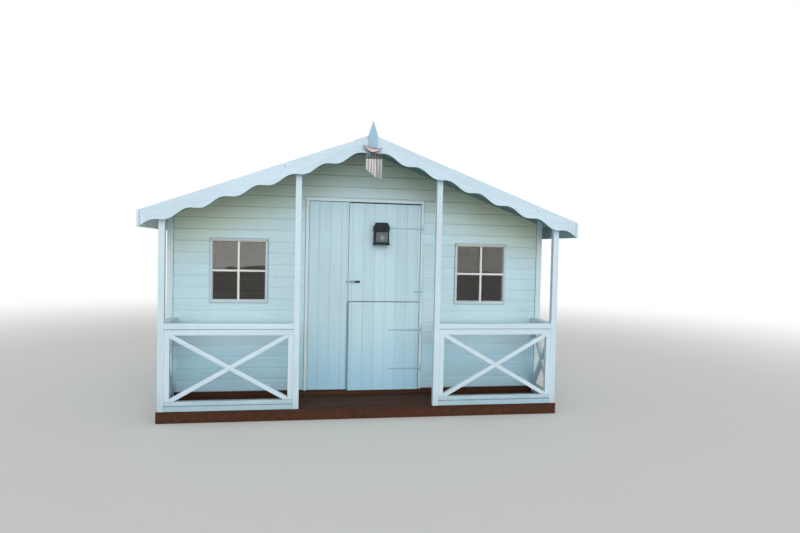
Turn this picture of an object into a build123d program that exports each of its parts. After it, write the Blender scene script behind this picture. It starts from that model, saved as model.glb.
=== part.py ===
from build123d import *
import math
import os

# Timber summerhouse: gable to the front (-Y), shallow veranda under the same roof, stable door.
# Millimetres. X = 0 is the middle of the width, Y = 0 the middle of the depth, Z = 0 the ground.

# Overall sizes
wall_span = 3620.0            # over the outer faces of the side walls
cabin_depth = 2400.0          # over the outer faces of the front and rear walls
veranda_depth = 486.0         # front wall to the front faces of the posts
wall_thick = 57.0             # framing and cladding together
trim_thick = 20.0             # every facing board, as thick as the bargeboards
corner_face = 55.0            # width of a corner trim on each face
slack = 5.0                   # clearance round everything that swings
clear = 1.0                   # joint gap between like pieces that meet

# Base
bearer_height = 75.0
bearer_width = 70.0
bearer_count = 5
deck_thick = 25.0
joist_height = 55.0
joist_width = 45.0
joist_count = 6
floor_thick = 20.0

# Doorway: a fixed boarded panel on the left, a stable door on the right
door_rise = 1836.0            # floor to the underside of the frame's head
head_face = 32.0
gable_rise = 518.0            # top of the door frame's head to the ridge
leaf_wide = 705.0
panel_wide = 376.0
door_right = 555.0            # hinged edge of both leaves
head_gap = 12.0               # over the upper leaf
sill_lap = 5.0                # lower leaf below the floor's face
split_rise = 866.0            # floor to the middle of the gap between the leaves
split_gap = 6.0
meeting_gap = 6.0             # between the leaves and the fixed panel
door_board = 15.0
ledge_thick = 27.0
ledge_high = 85.0
ledge_inset = 60.0
jamb_face = 30.0
panel_set_back = 8.0          # the panel stands back from the leaves
cover_strip = 16.0
lining = 20.0
mullion_face = 50.0

# Roof
roof_angle = 20.3
roof_board = 18.0             # square to the slope
eave_overhang = 146.0         # side wall to the outer face of an eave fascia
verge_front = 73.0            # posts' front faces to the bargeboards' front faces
fascia_height = 135.0
rafter_depth = 60.0           # square to the slope
beam_width = 44.0
beam_height = 90.0

# Scalloped bargeboards: a wave of equal bumps counted from the apex
wave_pitch = 285.0            # along X from bump to bump
wave_mean = 134.5             # board height, measured plumb
wave_swing = 19.0
wave_steps = 12               # points of the curve in each bump
rear_board = 120.0            # plain board at the back, plumb height

# Finial and the chime under it
finial_width = 92.0
finial_rise = 120.0           # tip above the ridge
finial_shoulder = 21.0        # below the ridge
finial_foot = 140.0           # below the ridge
finial_thick = 18.0
finial_neck = 8.0             # step in under the shoulders
bowl_x = -14.0                # middle of the crescent
bowl_tilt = 8.0               # its right end hangs lower
bowl_drop = 22.0              # its lowest point below the finial's foot
bowl_span = 172.0
bowl_sag = 54.0
bowl_depth = 34.0
bowl_middle = 38.0            # height of the crescent at its middle
tube_r = 11.5
cord_r = 1.2
cord_drop = 56.0              # bowl's lowest point to the tops of the tubes
tube_places = [(-52.0, 98.0), (-28.0, 115.0), (-4.0, 135.0), (20.0, 155.0), (47.0, 165.0), (71.0, 171.0)]

# Veranda posts and balustrades
post_side = 53.0
post_inset = 10.0             # side wall to the outer face of an outer post
inner_post_x = 635.0          # middle of an inner post
toe_high = 50.0
bottom_rail_high = 38.0
cap_rise = 760.0              # deck to the top of the cap
cap_high = 48.0
sub_rail_high = 55.0
rail_deep = 45.0
cap_side = 72.0               # width of the caps on the side returns
sub_set_back = 7.0            # sub-rail behind the face of its cap
toe_set_back = 4.0
stile_wide = 45.0
brace_wide = 38.0
brace_deep = 38.0
brace_set_back = 3.0

# Windows, one each side of the doorway
window_x = 1183.0
sill_rise = 874.0             # floor to the lower edge of the glass
glass_wide = 489.0
glass_tall = 554.0
window_face = 22.0            # visible width of a window's stiles
window_rail = 26.0            # visible height of a window's rails
pane_thick = 4.0
pane_set_back = 8.0
window_lining = 20.0          # part of the frame that lies in the wall

# Hinges, slide bolt and lantern
barrel_r = 6.0
pin_r = 3.0
pin_play = 0.05               # radial running clearance
hinge_leaf = 3.0
hinge_high = 100.0            # plate on the jamb
hinge_wide = 26.0
strap_high = 30.0
strap_tip = 16.0
strap_long = 310.0
strap_short = 62.0
knuckle_gap = 1.0
upper_hinge_drop = 230.0      # middle of the upper leaf's long hinge below its top
upper_hinge_rise = 101.0      # its short hinge above its bottom
lower_hinge_drop = 272.0      # middles of the lower leaf's two long hinges
lower_hinge_rise = 214.0
bolt_rise = 191.0             # above the gap between the leaves
bolt_long = 100.0
bolt_inset = 12.0
bolt_high = 24.0
bar_r = 5.0
bar_stand = 8.0               # bar's middle off the leaf
guide_inset = 8.0             # first guide from the end of the bolt's plate
guide_pitch = 60.0
guide_wide = 14.0
lantern_x = 158.0
lantern_drop = 401.0          # base below the top of the upper leaf
lantern_wide = 158.0
lantern_high = 216.0
lantern_deep = 96.0
lantern_base = 14.0
lantern_shoulder = 139.0      # width of the body under its cap
lantern_eave = 150.0          # width of the cap's lower edge
lantern_brow = 42.0           # upright part of the cap under its slopes
lantern_cap_high = 80.0
lantern_top = 108.0           # width of the cap's flat top
pane_inset = 14.0

# Derived
slope = math.tan(math.radians(roof_angle))
plumb = 1 / math.cos(math.radians(roof_angle))
half_span = wall_span / 2
wall_front = -(cabin_depth + veranda_depth) / 2 + veranda_depth
wall_back = wall_front + cabin_depth
post_front = wall_front - veranda_depth
verge_y = post_front - verge_front
trim_front = wall_front - trim_thick
inner_front = wall_front + wall_thick
inner_back = wall_back - wall_thick
deck_top = bearer_height + deck_thick
floor_top = bearer_height + joist_height + floor_thick
head_low = floor_top + door_rise
head_high = head_low + head_face
ridge_height = head_high + gable_rise
eave_half = half_span + eave_overhang
board_end = eave_half - trim_thick
outer_post_x = half_span - post_inset
door_left = door_right - leaf_wide
door_top = head_low - head_gap
door_bottom = floor_top - sill_lap
split_low = floor_top + split_rise - split_gap / 2
split_high = split_low + split_gap
panel_right = door_left - meeting_gap
panel_left = panel_right - panel_wide
opening_left = panel_left - slack - lining
opening_right = door_right + slack + lining
opening_top = head_low + lining
glass_low = floor_top + sill_rise
glass_high = glass_low + glass_tall
barrel_x = door_right + slack / 2
barrel_y = trim_front - hinge_leaf - barrel_r + 2
finial_front = verge_y - finial_thick


def roof_top(x):
    return ridge_height - slope * abs(x)


def roof_under(x):
    return roof_top(x) - roof_board * plumb


def top(x):
    return (x, roof_top(x))


def under(x):
    return (x, roof_under(x))


def block(x0, x1, y0, y1, z0, z1):
    return Pos((x0 + x1) / 2, (y0 + y1) / 2, (z0 + z1) / 2) * Box(x1 - x0, y1 - y0, z1 - z0)


def plate_xz(points, y0, y1):
    wire = Polyline(*[(x, y0, z) for x, z in points], close=True)
    return extrude(make_face(wire), amount=y1 - y0, dir=(0, 1, 0))


def both(shape):
    return [shape, mirror(shape, about=Plane.YZ)]


def save(name, shapes):
    solids = []
    for shape in shapes:
        solids.extend(shape.solids())
    body = Compound(children=solids) if len(solids) > 1 else solids[0]
    body.label = name
    export_step(body, f"parts/{name}.step")


os.makedirs("parts", exist_ok=True)

# Base: bearers on the ground, joists and boards over them
pitch_x = (wall_span - bearer_width) / (bearer_count - 1)
board_back = post_front + trim_thick
bearers = []
for i in range(bearer_count):
    x = -half_span + i * pitch_x
    bearers.append(block(x, x + bearer_width, board_back + clear, -board_back - clear, 0, bearer_height))
bearers.append(block(-half_span, half_span, post_front, post_front + trim_thick, 0, bearer_height))
bearers.append(block(-half_span, half_span, wall_back - trim_thick, wall_back, 0, bearer_height))
save("ground_bearers", bearers)

joist_top = bearer_height + joist_height
pitch_y = (cabin_depth - joist_width) / (joist_count - 1)
joists = []
for i in range(joist_count):
    y = wall_front + i * pitch_y
    joists.append(block(-half_span, half_span, y, y + joist_width, bearer_height, joist_top))
save("floor_joists", joists)
save("cabin_floor", [block(-half_span, half_span, wall_front, wall_back, joist_top, floor_top)])
save("veranda_deck", [block(-half_span, half_span, post_front, wall_front, bearer_height, deck_top)])

# Walls
window_hole = block(
    window_x - glass_wide / 2 - window_lining, window_x + glass_wide / 2 + window_lining,
    wall_front - 1, inner_front + 1, glass_low - window_lining, glass_high + window_lining)
right_outline = [(opening_right, floor_top), (half_span, floor_top), under(half_span), under(opening_right)]
left_outline = [(opening_left, floor_top), (-half_span, floor_top), under(-half_span), under(opening_left)]
right_wall = plate_xz(right_outline, wall_front, inner_front)
left_wall = plate_xz(left_outline, wall_front, inner_front)
save("front_wall_right", [right_wall - window_hole])
save("front_wall_left", [left_wall - mirror(window_hole, about=Plane.YZ)])

beam_half = beam_width / 2
beam_top = roof_under(beam_half)
beam_low = beam_top - beam_height
ridge_beam = block(-beam_half, beam_half, verge_y + trim_thick, -verge_y - trim_thick, beam_low, beam_top)
save("ridge_beam", [ridge_beam])

gable = plate_xz([(opening_left, opening_top), (opening_right, opening_top), under(opening_right),
                  under(0), under(opening_left)], wall_front, inner_front)
save("front_gable", [gable - block(-beam_half, beam_half, wall_front, inner_front, beam_low, ridge_height)])

rear = plate_xz([(-half_span, floor_top), (half_span, floor_top), under(half_span), under(0),
                 under(-half_span)], inner_back, wall_back)
save("rear_wall", [rear - block(-beam_half, beam_half, inner_back, wall_back, beam_low, ridge_height)])

side_inner = half_span - wall_thick
side = plate_xz([(side_inner, floor_top), (half_span, floor_top), under(half_span), under(side_inner)],
                inner_front, inner_back)
save("side_walls", both(side))

corner_x = half_span + trim_thick
corner_in = corner_x - corner_face
corner = plate_xz([(corner_in, floor_top), (corner_x, floor_top), under(corner_x), under(corner_in)],
                  trim_front, trim_front + corner_face)
front_corner = corner - block(0, half_span, wall_front, 0, 0, ridge_height)
rear_corner = mirror(front_corner, about=Plane.XZ.offset(-(wall_front + wall_back) / 2))
save("corner_trims", both(front_corner) + both(rear_corner))

# Door frame and fixed panel
jamb_right = door_right + slack
jamb_left = panel_left - slack
jamb = block(jamb_right, jamb_right + jamb_face, trim_front, wall_front, floor_top, head_low)
jamb += block(jamb_right, opening_right, wall_front, inner_front, floor_top, head_low)
left_jamb = block(jamb_left - jamb_face, jamb_left, trim_front, wall_front, floor_top, head_low)
panel_back = trim_front + panel_set_back + door_board
left_jamb += block(opening_left, jamb_left, wall_front, inner_front, floor_top, head_low)
left_jamb += block(jamb_left, panel_left + lining, panel_back, inner_front, floor_top, head_low)
mullion_x = panel_right - mullion_face + 2 * meeting_gap
mullion = block(mullion_x, mullion_x + mullion_face, panel_back, inner_front, floor_top, head_low)
save("door_frame_posts", [jamb, left_jamb, mullion])

head = block(jamb_left - jamb_face, jamb_right + jamb_face, trim_front, wall_front, head_low, head_high)
head += block(opening_left, opening_right, wall_front, inner_front, head_low, opening_top)
save("door_frame_head", [head])

panel_low = floor_top + slack
panel_top = head_low - slack
panel_face = trim_front + panel_set_back
panel = block(panel_left, panel_right, panel_face, panel_back, panel_low, panel_top)
panel += block(panel_right - cover_strip, panel_right, trim_front, panel_face, panel_low, panel_top)
save("side_panel", [panel])

# Stable door: two boarded leaves on one hinge line
for name, z0, z1 in (("upper_door", split_high, door_top), ("lower_door", door_bottom, split_low)):
    leaf = block(door_left, door_right, trim_front, trim_front + door_board, z0, z1)
    save(name, [leaf])
    ledge_y = trim_front + door_board
    rows = [z0 + ledge_inset, z1 - ledge_inset - ledge_high]
    x0 = door_left + 5 * slack
    x1 = door_right - 4 * slack
    ledges = [block(x0, x1, ledge_y, ledge_y + ledge_thick, z, z + ledge_high) for z in rows]
    save(name + "_ledges", ledges)


def hinge_plate(z):
    plate = block(door_right + slack, door_right + slack + hinge_wide, trim_front - hinge_leaf, trim_front,
                  z - hinge_high / 2, z + hinge_high / 2)
    web = block(barrel_x, door_right + slack + 8, trim_front - hinge_leaf, trim_front - 1,
                z - hinge_high / 2, z + hinge_high / 2)
    knuckle = Pos(barrel_x, barrel_y, z) * Cylinder(barrel_r, hinge_high)
    slot = block(barrel_x - 2 * barrel_r, barrel_x + barrel_r + 1, barrel_y - 2 * barrel_r, trim_front - 1,
                 z - strap_high / 2 - knuckle_gap, z + strap_high / 2 + knuckle_gap)
    pin = Pos(barrel_x, barrel_y, z) * Cylinder(pin_r, hinge_high)
    return (plate + web + knuckle - slot) + pin


def hinge_strap(z, length):
    wide = strap_high / 2
    tip = strap_tip / 2
    end_x = barrel_x - length
    wire = Polyline((barrel_x, trim_front, z - wide), (barrel_x, trim_front, z + wide),
                    (end_x, trim_front, z + tip), (end_x, trim_front, z - tip), close=True)
    strap = extrude(make_face(wire), amount=hinge_leaf, dir=(0, -1, 0))
    strap -= block(door_right, barrel_x + 1, trim_front - 1, trim_front + 1, z - wide, z + wide)
    knuckle = Pos(barrel_x, barrel_y, z) * Cylinder(barrel_r, strap_high)
    bore = Pos(barrel_x, barrel_y, z) * Cylinder(pin_r + pin_play, strap_high + 2)
    return strap + knuckle - bore


upper_hinges = [(door_top - upper_hinge_drop, strap_long), (split_high + upper_hinge_rise, strap_short)]
lower_hinges = [(split_low - lower_hinge_drop, strap_long), (door_bottom + lower_hinge_rise, strap_long)]
save("hinge_plates", [hinge_plate(z) for z, length in upper_hinges + lower_hinges])
save("upper_hinge_straps", [hinge_strap(z, length) for z, length in upper_hinges])
save("lower_hinge_straps", [hinge_strap(z, length) for z, length in lower_hinges])

# Slide bolt, drawn back: plate, two guides and the bar on the leaf, keeper on the panel's cover strip
bolt_z = split_high + bolt_rise
bolt_x = door_left + bolt_inset
z0 = bolt_z - bolt_high / 2
z1 = bolt_z + bolt_high / 2
bar_y = trim_front - bar_stand
guide_front = bar_y - bar_r - 2
bolt_back = block(bolt_x, bolt_x + bolt_long, trim_front - 2, trim_front, z0, z1)
for x in (bolt_x + guide_inset, bolt_x + guide_inset + guide_pitch):
    bolt_back += block(x, x + guide_wide, guide_front, trim_front - 2,
                       bolt_z - 2.2 * bar_r, bolt_z + 2.2 * bar_r)
bar = Pos(bolt_x + bolt_long * 0.46, bar_y, bolt_z) * Rotation(0, 90, 0) * Cylinder(bar_r, bolt_long + 4)
knob = Pos(bolt_x + bolt_long * 0.52, bar_y - 9, bolt_z) * Rotation(90, 0, 0) * Cylinder(4, 12)
save("slide_bolt", [bolt_back + bar + knob])
keeper_x = panel_right - cover_strip
keeper = block(keeper_x, keeper_x + 11, guide_front, trim_front, z0, z1)
keeper -= Pos(keeper_x, bar_y, bolt_z) * Rotation(0, 90, 0) * Cylinder(bar_r + 0.5, 40)
save("bolt_keeper", [keeper])

# Windows
glass_x0 = window_x - glass_wide / 2
glass_x1 = window_x + glass_wide / 2
see_through = block(glass_x0, glass_x1, trim_front - 1, inner_front + 1, glass_low, glass_high)
frame = block(glass_x0 - window_face, glass_x1 + window_face, trim_front, wall_front,
              glass_low - window_rail, glass_high + window_rail)
frame += block(glass_x0 - window_lining, glass_x1 + window_lining, wall_front, inner_front,
               glass_low - window_lining, glass_high + window_lining)
save("window_frames", both(frame - see_through))
pane_y = wall_front + pane_set_back
pane = block(glass_x0, glass_x1, pane_y, pane_y + pane_thick, glass_low, glass_high)
save("window_panes", both(pane))

# Roof
roof_front = verge_y + trim_thick
roof_right = plate_xz([top(0), top(board_end), under(board_end), under(0)], roof_front, -roof_front)
save("roof_right", [roof_right])
save("roof_left", [mirror(roof_right, about=Plane.YZ)])

rafter_plumb = rafter_depth * plumb
rafter = plate_xz([under(beam_half), under(board_end), (board_end, roof_under(board_end) - rafter_plumb),
                   (beam_half, roof_under(beam_half) - rafter_plumb)], roof_front, post_front)
save("front_rafters", both(rafter))

fascia_low = roof_top(eave_half) - fascia_height
fascia = plate_xz([top(board_end), top(eave_half), (eave_half, fascia_low), (board_end, fascia_low)],
                  verge_y, -verge_y)
save("eave_fascias", both(fascia))

# Front bargeboards, mitred at the apex, their lower edges one even wave
steps = int(board_end / wave_pitch * wave_steps) + 1
wave = []
for i in range(steps + 1):
    x = board_end * i / steps
    wave.append((x, verge_y, roof_top(x) - wave_mean - wave_swing * math.cos(2 * math.pi * x / wave_pitch)))
lower_edge = Spline(*wave)
upper_edge = Line((0, verge_y, roof_top(0)), (board_end, verge_y, roof_top(board_end)))
apex_edge = Line((0, verge_y, roof_top(0)), wave[0])
end_edge = Line((board_end, verge_y, roof_top(board_end)), wave[-1])
barge_face = make_face([lower_edge, upper_edge, apex_edge, end_edge])
barge_right = extrude(barge_face, amount=trim_thick, dir=(0, 1, 0))
save("front_bargeboard_right", [barge_right])
save("front_bargeboard_left", [mirror(barge_right, about=Plane.YZ)])
rear_barge = plate_xz([top(clear), top(board_end), (board_end, roof_top(board_end) - rear_board),
                       (clear, roof_top(clear) - rear_board)], -verge_y - trim_thick, -verge_y)
save("rear_bargeboards", both(rear_barge))

finial_half = finial_width / 2
neck_half = finial_half - finial_neck
shoulder_z = ridge_height - finial_shoulder
foot_z = ridge_height - finial_foot
spear = plate_xz([(0, ridge_height + finial_rise), (finial_half, shoulder_z), (neck_half, shoulder_z - 12),
                  (neck_half, foot_z + 30), (0, foot_z), (-neck_half, foot_z + 30),
                  (-neck_half, shoulder_z - 12), (-finial_half, shoulder_z)], finial_front, verge_y)
save("finial", [spear])

# Chime: a crescent bowl on the finial's face, graded tubes on cords below it
bowl_y = finial_front - bowl_depth
bowl_low = foot_z - bowl_drop
bowl_half = bowl_span / 2
lower_arc = ThreePointArc((-bowl_half, 0, bowl_sag), (0, 0, 0), (bowl_half, 0, bowl_sag))
upper_arc = ThreePointArc((bowl_half, 0, bowl_sag), (0, 0, bowl_middle), (-bowl_half, 0, bowl_sag))
bowl = extrude(make_face([lower_arc, upper_arc]), amount=bowl_depth, dir=(0, 1, 0))
bowl = Pos(bowl_x, bowl_y, bowl_low) * Rotation(0, bowl_tilt, 0) * bowl
save("chime_bowl", [bowl])
hang_y = bowl_y + bowl_depth / 2
tube_top = bowl_low - cord_drop
tubes = []
for x, length in tube_places:
    across = x - bowl_x
    cord_top = bowl_low + bowl_middle / 2 + (bowl_sag - bowl_middle / 2) * (across / bowl_half) ** 2
    cord_top -= across * math.tan(math.radians(bowl_tilt))
    tube = Pos(x, hang_y, tube_top - length / 2) * Cylinder(tube_r, length)
    cord = Pos(x, hang_y, (cord_top + tube_top) / 2) * Cylinder(cord_r, cord_top - tube_top)
    tubes.append(tube + (cord - bowl))
save("chime_tubes", tubes)

# Posts
def post(x0, x1):
    outline = [(x0, deck_top), (x1, deck_top), under(x1), under(x0)]
    return plate_xz(outline, post_front, post_front + post_side)


outer = post(outer_post_x - post_side, outer_post_x)
inner = post(inner_post_x - post_side / 2, inner_post_x + post_side / 2)
save("veranda_posts", both(outer) + both(inner))

# Balustrades: stepped rails, stiles and crossed braces halved into each other
bay_x0 = inner_post_x + post_side / 2
bay_x1 = outer_post_x - post_side
bay_y0 = post_front + post_side
bay_y1 = trim_front
rail_low = deck_top
rail_step = rail_low + toe_high
rail_top_low = rail_step + bottom_rail_high
cap_top = deck_top + cap_rise
cap_low = cap_top - cap_high
sub_rail_low = cap_low - sub_rail_high


def top_rail_x(x0, x1):
    rail = block(x0, x1, post_front, post_front + post_side, cap_low, cap_top)
    return rail + block(x0, x1, post_front + sub_set_back, post_front + rail_deep, sub_rail_low, cap_low)


def bottom_rail_x(x0, x1):
    rail = block(x0, x1, post_front, post_front + rail_deep, rail_step, rail_top_low)
    return rail + block(x0, x1, post_front + toe_set_back, post_front + rail_deep, rail_low, rail_step)


def top_rail_y(y0, y1):
    rail = block(outer_post_x - cap_side, outer_post_x, y0 + clear, y1, cap_low, cap_top)
    rail += block(outer_post_x - post_side, outer_post_x, y0, y0 + clear, cap_low, cap_top)
    rail += block(outer_post_x - rail_deep, outer_post_x - sub_set_back, y0, y1, sub_rail_low, cap_low)
    return rail


def bottom_rail_y(y0, y1):
    rail = block(outer_post_x - rail_deep, outer_post_x, y0, y1, rail_step, rail_top_low)
    return rail + block(outer_post_x - rail_deep, outer_post_x - toe_set_back, y0, y1, rail_low, rail_step)


save("top_rails", both(top_rail_x(bay_x0, bay_x1)) + both(top_rail_y(bay_y0, bay_y1)))
save("bottom_rails", both(bottom_rail_x(bay_x0, bay_x1)) + both(bottom_rail_y(bay_y0, bay_y1)))
stile_y0 = post_front + brace_set_back
stiles = [block(bay_x0, bay_x0 + stile_wide, stile_y0, post_front + rail_deep, rail_top_low, sub_rail_low),
          block(bay_x1 - stile_wide, bay_x1, stile_y0, post_front + rail_deep, rail_top_low, sub_rail_low)]
save("balustrade_stiles", both(stiles[0]) + both(stiles[1]))


def brace_pair(length, height):
    """Two crossed braces in the plane Y = 0, each halved from its own face at the crossing."""
    angle = math.degrees(math.atan2(height, length))
    bar = Box(2 * length, brace_deep, brace_wide)
    field = Box(length, brace_deep, height)
    rising = Rotation(0, -angle, 0) * bar
    falling = Rotation(0, angle, 0) * bar
    front_half = Pos(0, -brace_deep / 4, 0) * Box(2 * length, brace_deep / 2, 2 * height)
    rear_half = Pos(0, brace_deep / 4, 0) * Box(2 * length, brace_deep / 2, 2 * height)
    cut_rising = (rising & field) - (falling & rear_half)
    cut_falling = (falling & field) - (rising & front_half)
    return cut_rising, cut_falling


field_x0 = bay_x0 + stile_wide
field_x1 = bay_x1 - stile_wide
field_high = sub_rail_low - rail_top_low
field_z = (sub_rail_low + rail_top_low) / 2
brace_y = post_front + brace_set_back + brace_deep / 2
rising, falling = brace_pair(field_x1 - field_x0, field_high)
place = Pos((field_x0 + field_x1) / 2, brace_y, field_z)
return_rising, return_falling = brace_pair(bay_y1 - bay_y0, field_high)
return_x = outer_post_x - brace_set_back - brace_deep / 2
turned = Pos(return_x, (bay_y0 + bay_y1) / 2, field_z) * Rotation(0, 0, 90)
save("rising_braces", both(place * rising) + both(turned * return_rising))
save("falling_braces", both(place * falling) + both(turned * return_falling))

# Lantern on the upper leaf: tapered body with a pane in its front, a base and a sloping cap
lantern_z = door_top - lantern_drop
low_w = lantern_wide / 2
top_w = lantern_shoulder / 2
body_low = lantern_z + lantern_base
body_high = lantern_z + lantern_high - lantern_cap_high
lantern_face = trim_front - lantern_deep
foot = low_w - 6
body_outline = [(lantern_x - foot, body_low), (lantern_x + foot, body_low),
                (lantern_x + top_w, body_high), (lantern_x - top_w, body_high)]
lantern = plate_xz(body_outline, lantern_face + 8, trim_front)
pane_x0 = foot - pane_inset
pane_x1 = top_w - pane_inset
pane_z0 = body_low + pane_inset
pane_z1 = body_high - pane_inset
pane_outline = [(lantern_x - pane_x0, pane_z0), (lantern_x + pane_x0, pane_z0),
                (lantern_x + pane_x1, pane_z1), (lantern_x - pane_x1, pane_z1)]
pane_box = plate_xz(pane_outline, lantern_face + 8, lantern_face + 12)
base = block(lantern_x - low_w, lantern_x + low_w, lantern_face, trim_front, lantern_z, body_low)
eave = lantern_eave / 2
brow_high = body_high + lantern_brow
lantern_cap = plate_xz([(lantern_x - eave, body_high), (lantern_x + eave, body_high),
                        (lantern_x + eave, brow_high),
                        (lantern_x + lantern_top / 2, lantern_z + lantern_high),
                        (lantern_x - lantern_top / 2, lantern_z + lantern_high),
                        (lantern_x - eave, brow_high)], lantern_face, trim_front)
save("lantern_body", [(lantern - pane_box) + base + lantern_cap])
save("lantern_pane", [pane_box])
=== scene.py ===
import functools
import math

import bmesh
import bpy
from bpy.props import FloatProperty, FloatVectorProperty, IntProperty, PointerProperty
from mathutils import Matrix, Vector, noise


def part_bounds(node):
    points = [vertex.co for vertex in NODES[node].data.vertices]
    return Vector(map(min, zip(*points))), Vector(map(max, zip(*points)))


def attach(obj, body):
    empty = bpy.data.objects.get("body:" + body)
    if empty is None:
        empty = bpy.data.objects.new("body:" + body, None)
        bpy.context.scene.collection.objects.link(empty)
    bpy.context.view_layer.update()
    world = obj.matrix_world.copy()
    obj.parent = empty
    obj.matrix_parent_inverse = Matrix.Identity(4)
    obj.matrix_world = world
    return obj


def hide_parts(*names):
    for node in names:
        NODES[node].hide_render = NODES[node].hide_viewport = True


bl_info = {
    "name": "Summerhouse finisher",
    "version": (1, 0, 0),
    "blender": (4, 5, 0),
    "location": "View3D > Sidebar > Summerhouse",
    "description": "Boards, felt, glazing bars, fixings and finishes for a painted timber summerhouse",
    "category": "Object",
}

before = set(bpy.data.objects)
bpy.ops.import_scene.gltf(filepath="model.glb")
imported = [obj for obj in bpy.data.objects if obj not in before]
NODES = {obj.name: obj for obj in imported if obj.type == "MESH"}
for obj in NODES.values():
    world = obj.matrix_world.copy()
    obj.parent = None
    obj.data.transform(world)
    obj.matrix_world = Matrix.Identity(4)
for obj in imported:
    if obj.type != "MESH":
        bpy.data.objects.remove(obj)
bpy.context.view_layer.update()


# Places read from the frame

def points_of(node, keep=lambda p: True):
    """The points of a node that pass the test."""
    return [v.co for v in NODES[node].data.vertices if keep(v.co)]


def part_box(node, keep):
    """Lowest and highest corners of the part of a node whose points pass the test."""
    points = points_of(node, keep)
    return [Vector([pick(p[i] for p in points) for i in range(3)]) for pick in (min, max)]


def roof_lines():
    """Ridge height, fall per metre of width, and plumb thickness of the roof slabs."""
    points = points_of("roof_right")
    ridge, far = max(p.z for p in points), max(p.x for p in points)
    ends = [p.z for p in points if p.x > far - TOUCH]
    return ridge, (ridge - max(ends)) / far, max(ends) - min(ends)


TOUCH = 1e-4                  # points nearer than this to a plane lie in it
RIDGE, FALL, ROOF_THICK = roof_lines()
ROOF_FRONT, ROOF_BACK = (corner.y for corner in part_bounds("roof_right"))
WALL_FRONT, INNER_FRONT = (corner.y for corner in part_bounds("front_wall_left"))
INNER_BACK, WALL_BACK = (corner.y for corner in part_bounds("rear_wall"))
HALF_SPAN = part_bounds("side_walls")[1].x
INNER_SIDE = min(abs(p.x) for p in points_of("side_walls"))
TRIM_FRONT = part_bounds("corner_trims")[0].y
TRIM_IN = min(abs(p.x) for p in points_of("corner_trims"))
SIDE_START = part_box("corner_trims", lambda p: p.y < 0)[1].y
SIDE_END = part_box("corner_trims", lambda p: p.y > 0)[0].y
FLOOR_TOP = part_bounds("cabin_floor")[1].z
HEAD_LOW, HEAD_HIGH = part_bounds("door_frame_head")
WINDOW_LOW, WINDOW_HIGH = part_box("window_frames", lambda p: p.x > 0 and p.y < TRIM_FRONT + TOUCH)
GLASS_LOW, GLASS_HIGH = part_box("window_panes", lambda p: p.x > 0)
BOARD_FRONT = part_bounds("front_bargeboard_right")[0].y
EAVE_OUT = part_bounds("eave_fascias")[1].x
SIDE_RAILS = 1.7275           # rails and braces further out than this run from front to back
UP, RIGHT, FORWARD, REARWARD = (0, 0, 1), (1, 0, 0), (0, -1, 0), (0, 1, 0)


def roof_top(x):
    return RIDGE - FALL * abs(x)


def roof_under(x):
    return roof_top(x) - ROOF_THICK


def straps(node):
    """The points of each of a leaf's two hinge straps, the lower strap first."""
    points = points_of(node)
    middle = (min(p.z for p in points) + max(p.z for p in points)) / 2
    return [[p for p in points if (p.z > middle) == upper] for upper in (False, True)]


# Sizes and colours that a user would change

def length(name, description, default, **limits):
    return FloatProperty(name=name, description=description, default=default, unit="LENGTH", **limits)


def angle(name, description, default):
    return FloatProperty(name=name, description=description, default=default, subtype="ANGLE")


def strength(name, description, default):
    return FloatProperty(name=name, description=description, default=default)


def colour(name, description, *default):
    return FloatVectorProperty(name=name, description=description, default=default, subtype="COLOR", size=3,
                               min=0, max=1)


class BoardSizes(bpy.types.PropertyGroup):
    """Sizes of the boards that clad the walls, doors and floors."""
    cover: length("Cladding cover", "Visible height of each wall board", 0.110, min=0.06, max=0.2)
    first_edge: length("First edge", "Height of the lowest wall board's lower edge", FLOOR_TOP + 0.007)
    proud: length("Board face", "How far the wall boards stand off the wall", 0.008, min=0.003, max=0.015)
    joint: length("Joint", "Gap between the front's boards and what they meet", 0.004, min=0.001, max=0.01)
    door_pitch: length("Door board pitch", "From groove to groove on doors and panel", 0.1076)
    door_first: length("Door groove", "Place of one groove along the width", -0.115)
    groove: length("Groove depth", "Depth of the V between door boards", 0.004, min=0.001, max=0.006)
    floor_pitch: length("Floor board", "Width of a floor board", 0.112)
    deck_boards: IntProperty(name="Deck boards", description="Boards across the veranda", default=4, min=2, max=8)
    roof_pitch: length("Roof board", "Width of a roof board on the slope", 0.095)
    batten: length("Head batten", "Plumb height of the battens under the roof", 0.038)


class GlazingSizes(bpy.types.PropertyGroup):
    """Sizes of the glazing bars and beads."""
    upright_place: length("Upright", "Middle of the upright bar from the middle of the front", 1.188)
    upright_wide: length("Upright width", "Width of the upright bar", 0.021)
    cross_place: length("Cross bar", "Height of the middle of the cross bar", 1.301)
    cross_high: length("Cross bar height", "Height of the cross bar's face", 0.020)
    bead: length("Bead", "Side of the glazing beads", 0.006)


class RoofingSizes(bpy.types.PropertyGroup):
    """Sizes of the felt and its fixings."""
    thickness: length("Felt", "Thickness of the roofing felt", 0.0014)
    lower_strip: length("Lower strip", "Width of the strip at the eave, on the flat", 0.985)
    lap: length("Lap", "Overlap of one strip on the next", 0.075)
    ridge_strip: length("Ridge strip", "Half width of the strip over the ridge", 0.165)
    nail_pitch: length("Clout pitch", "From nail to nail along edges and laps", 0.105)


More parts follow.
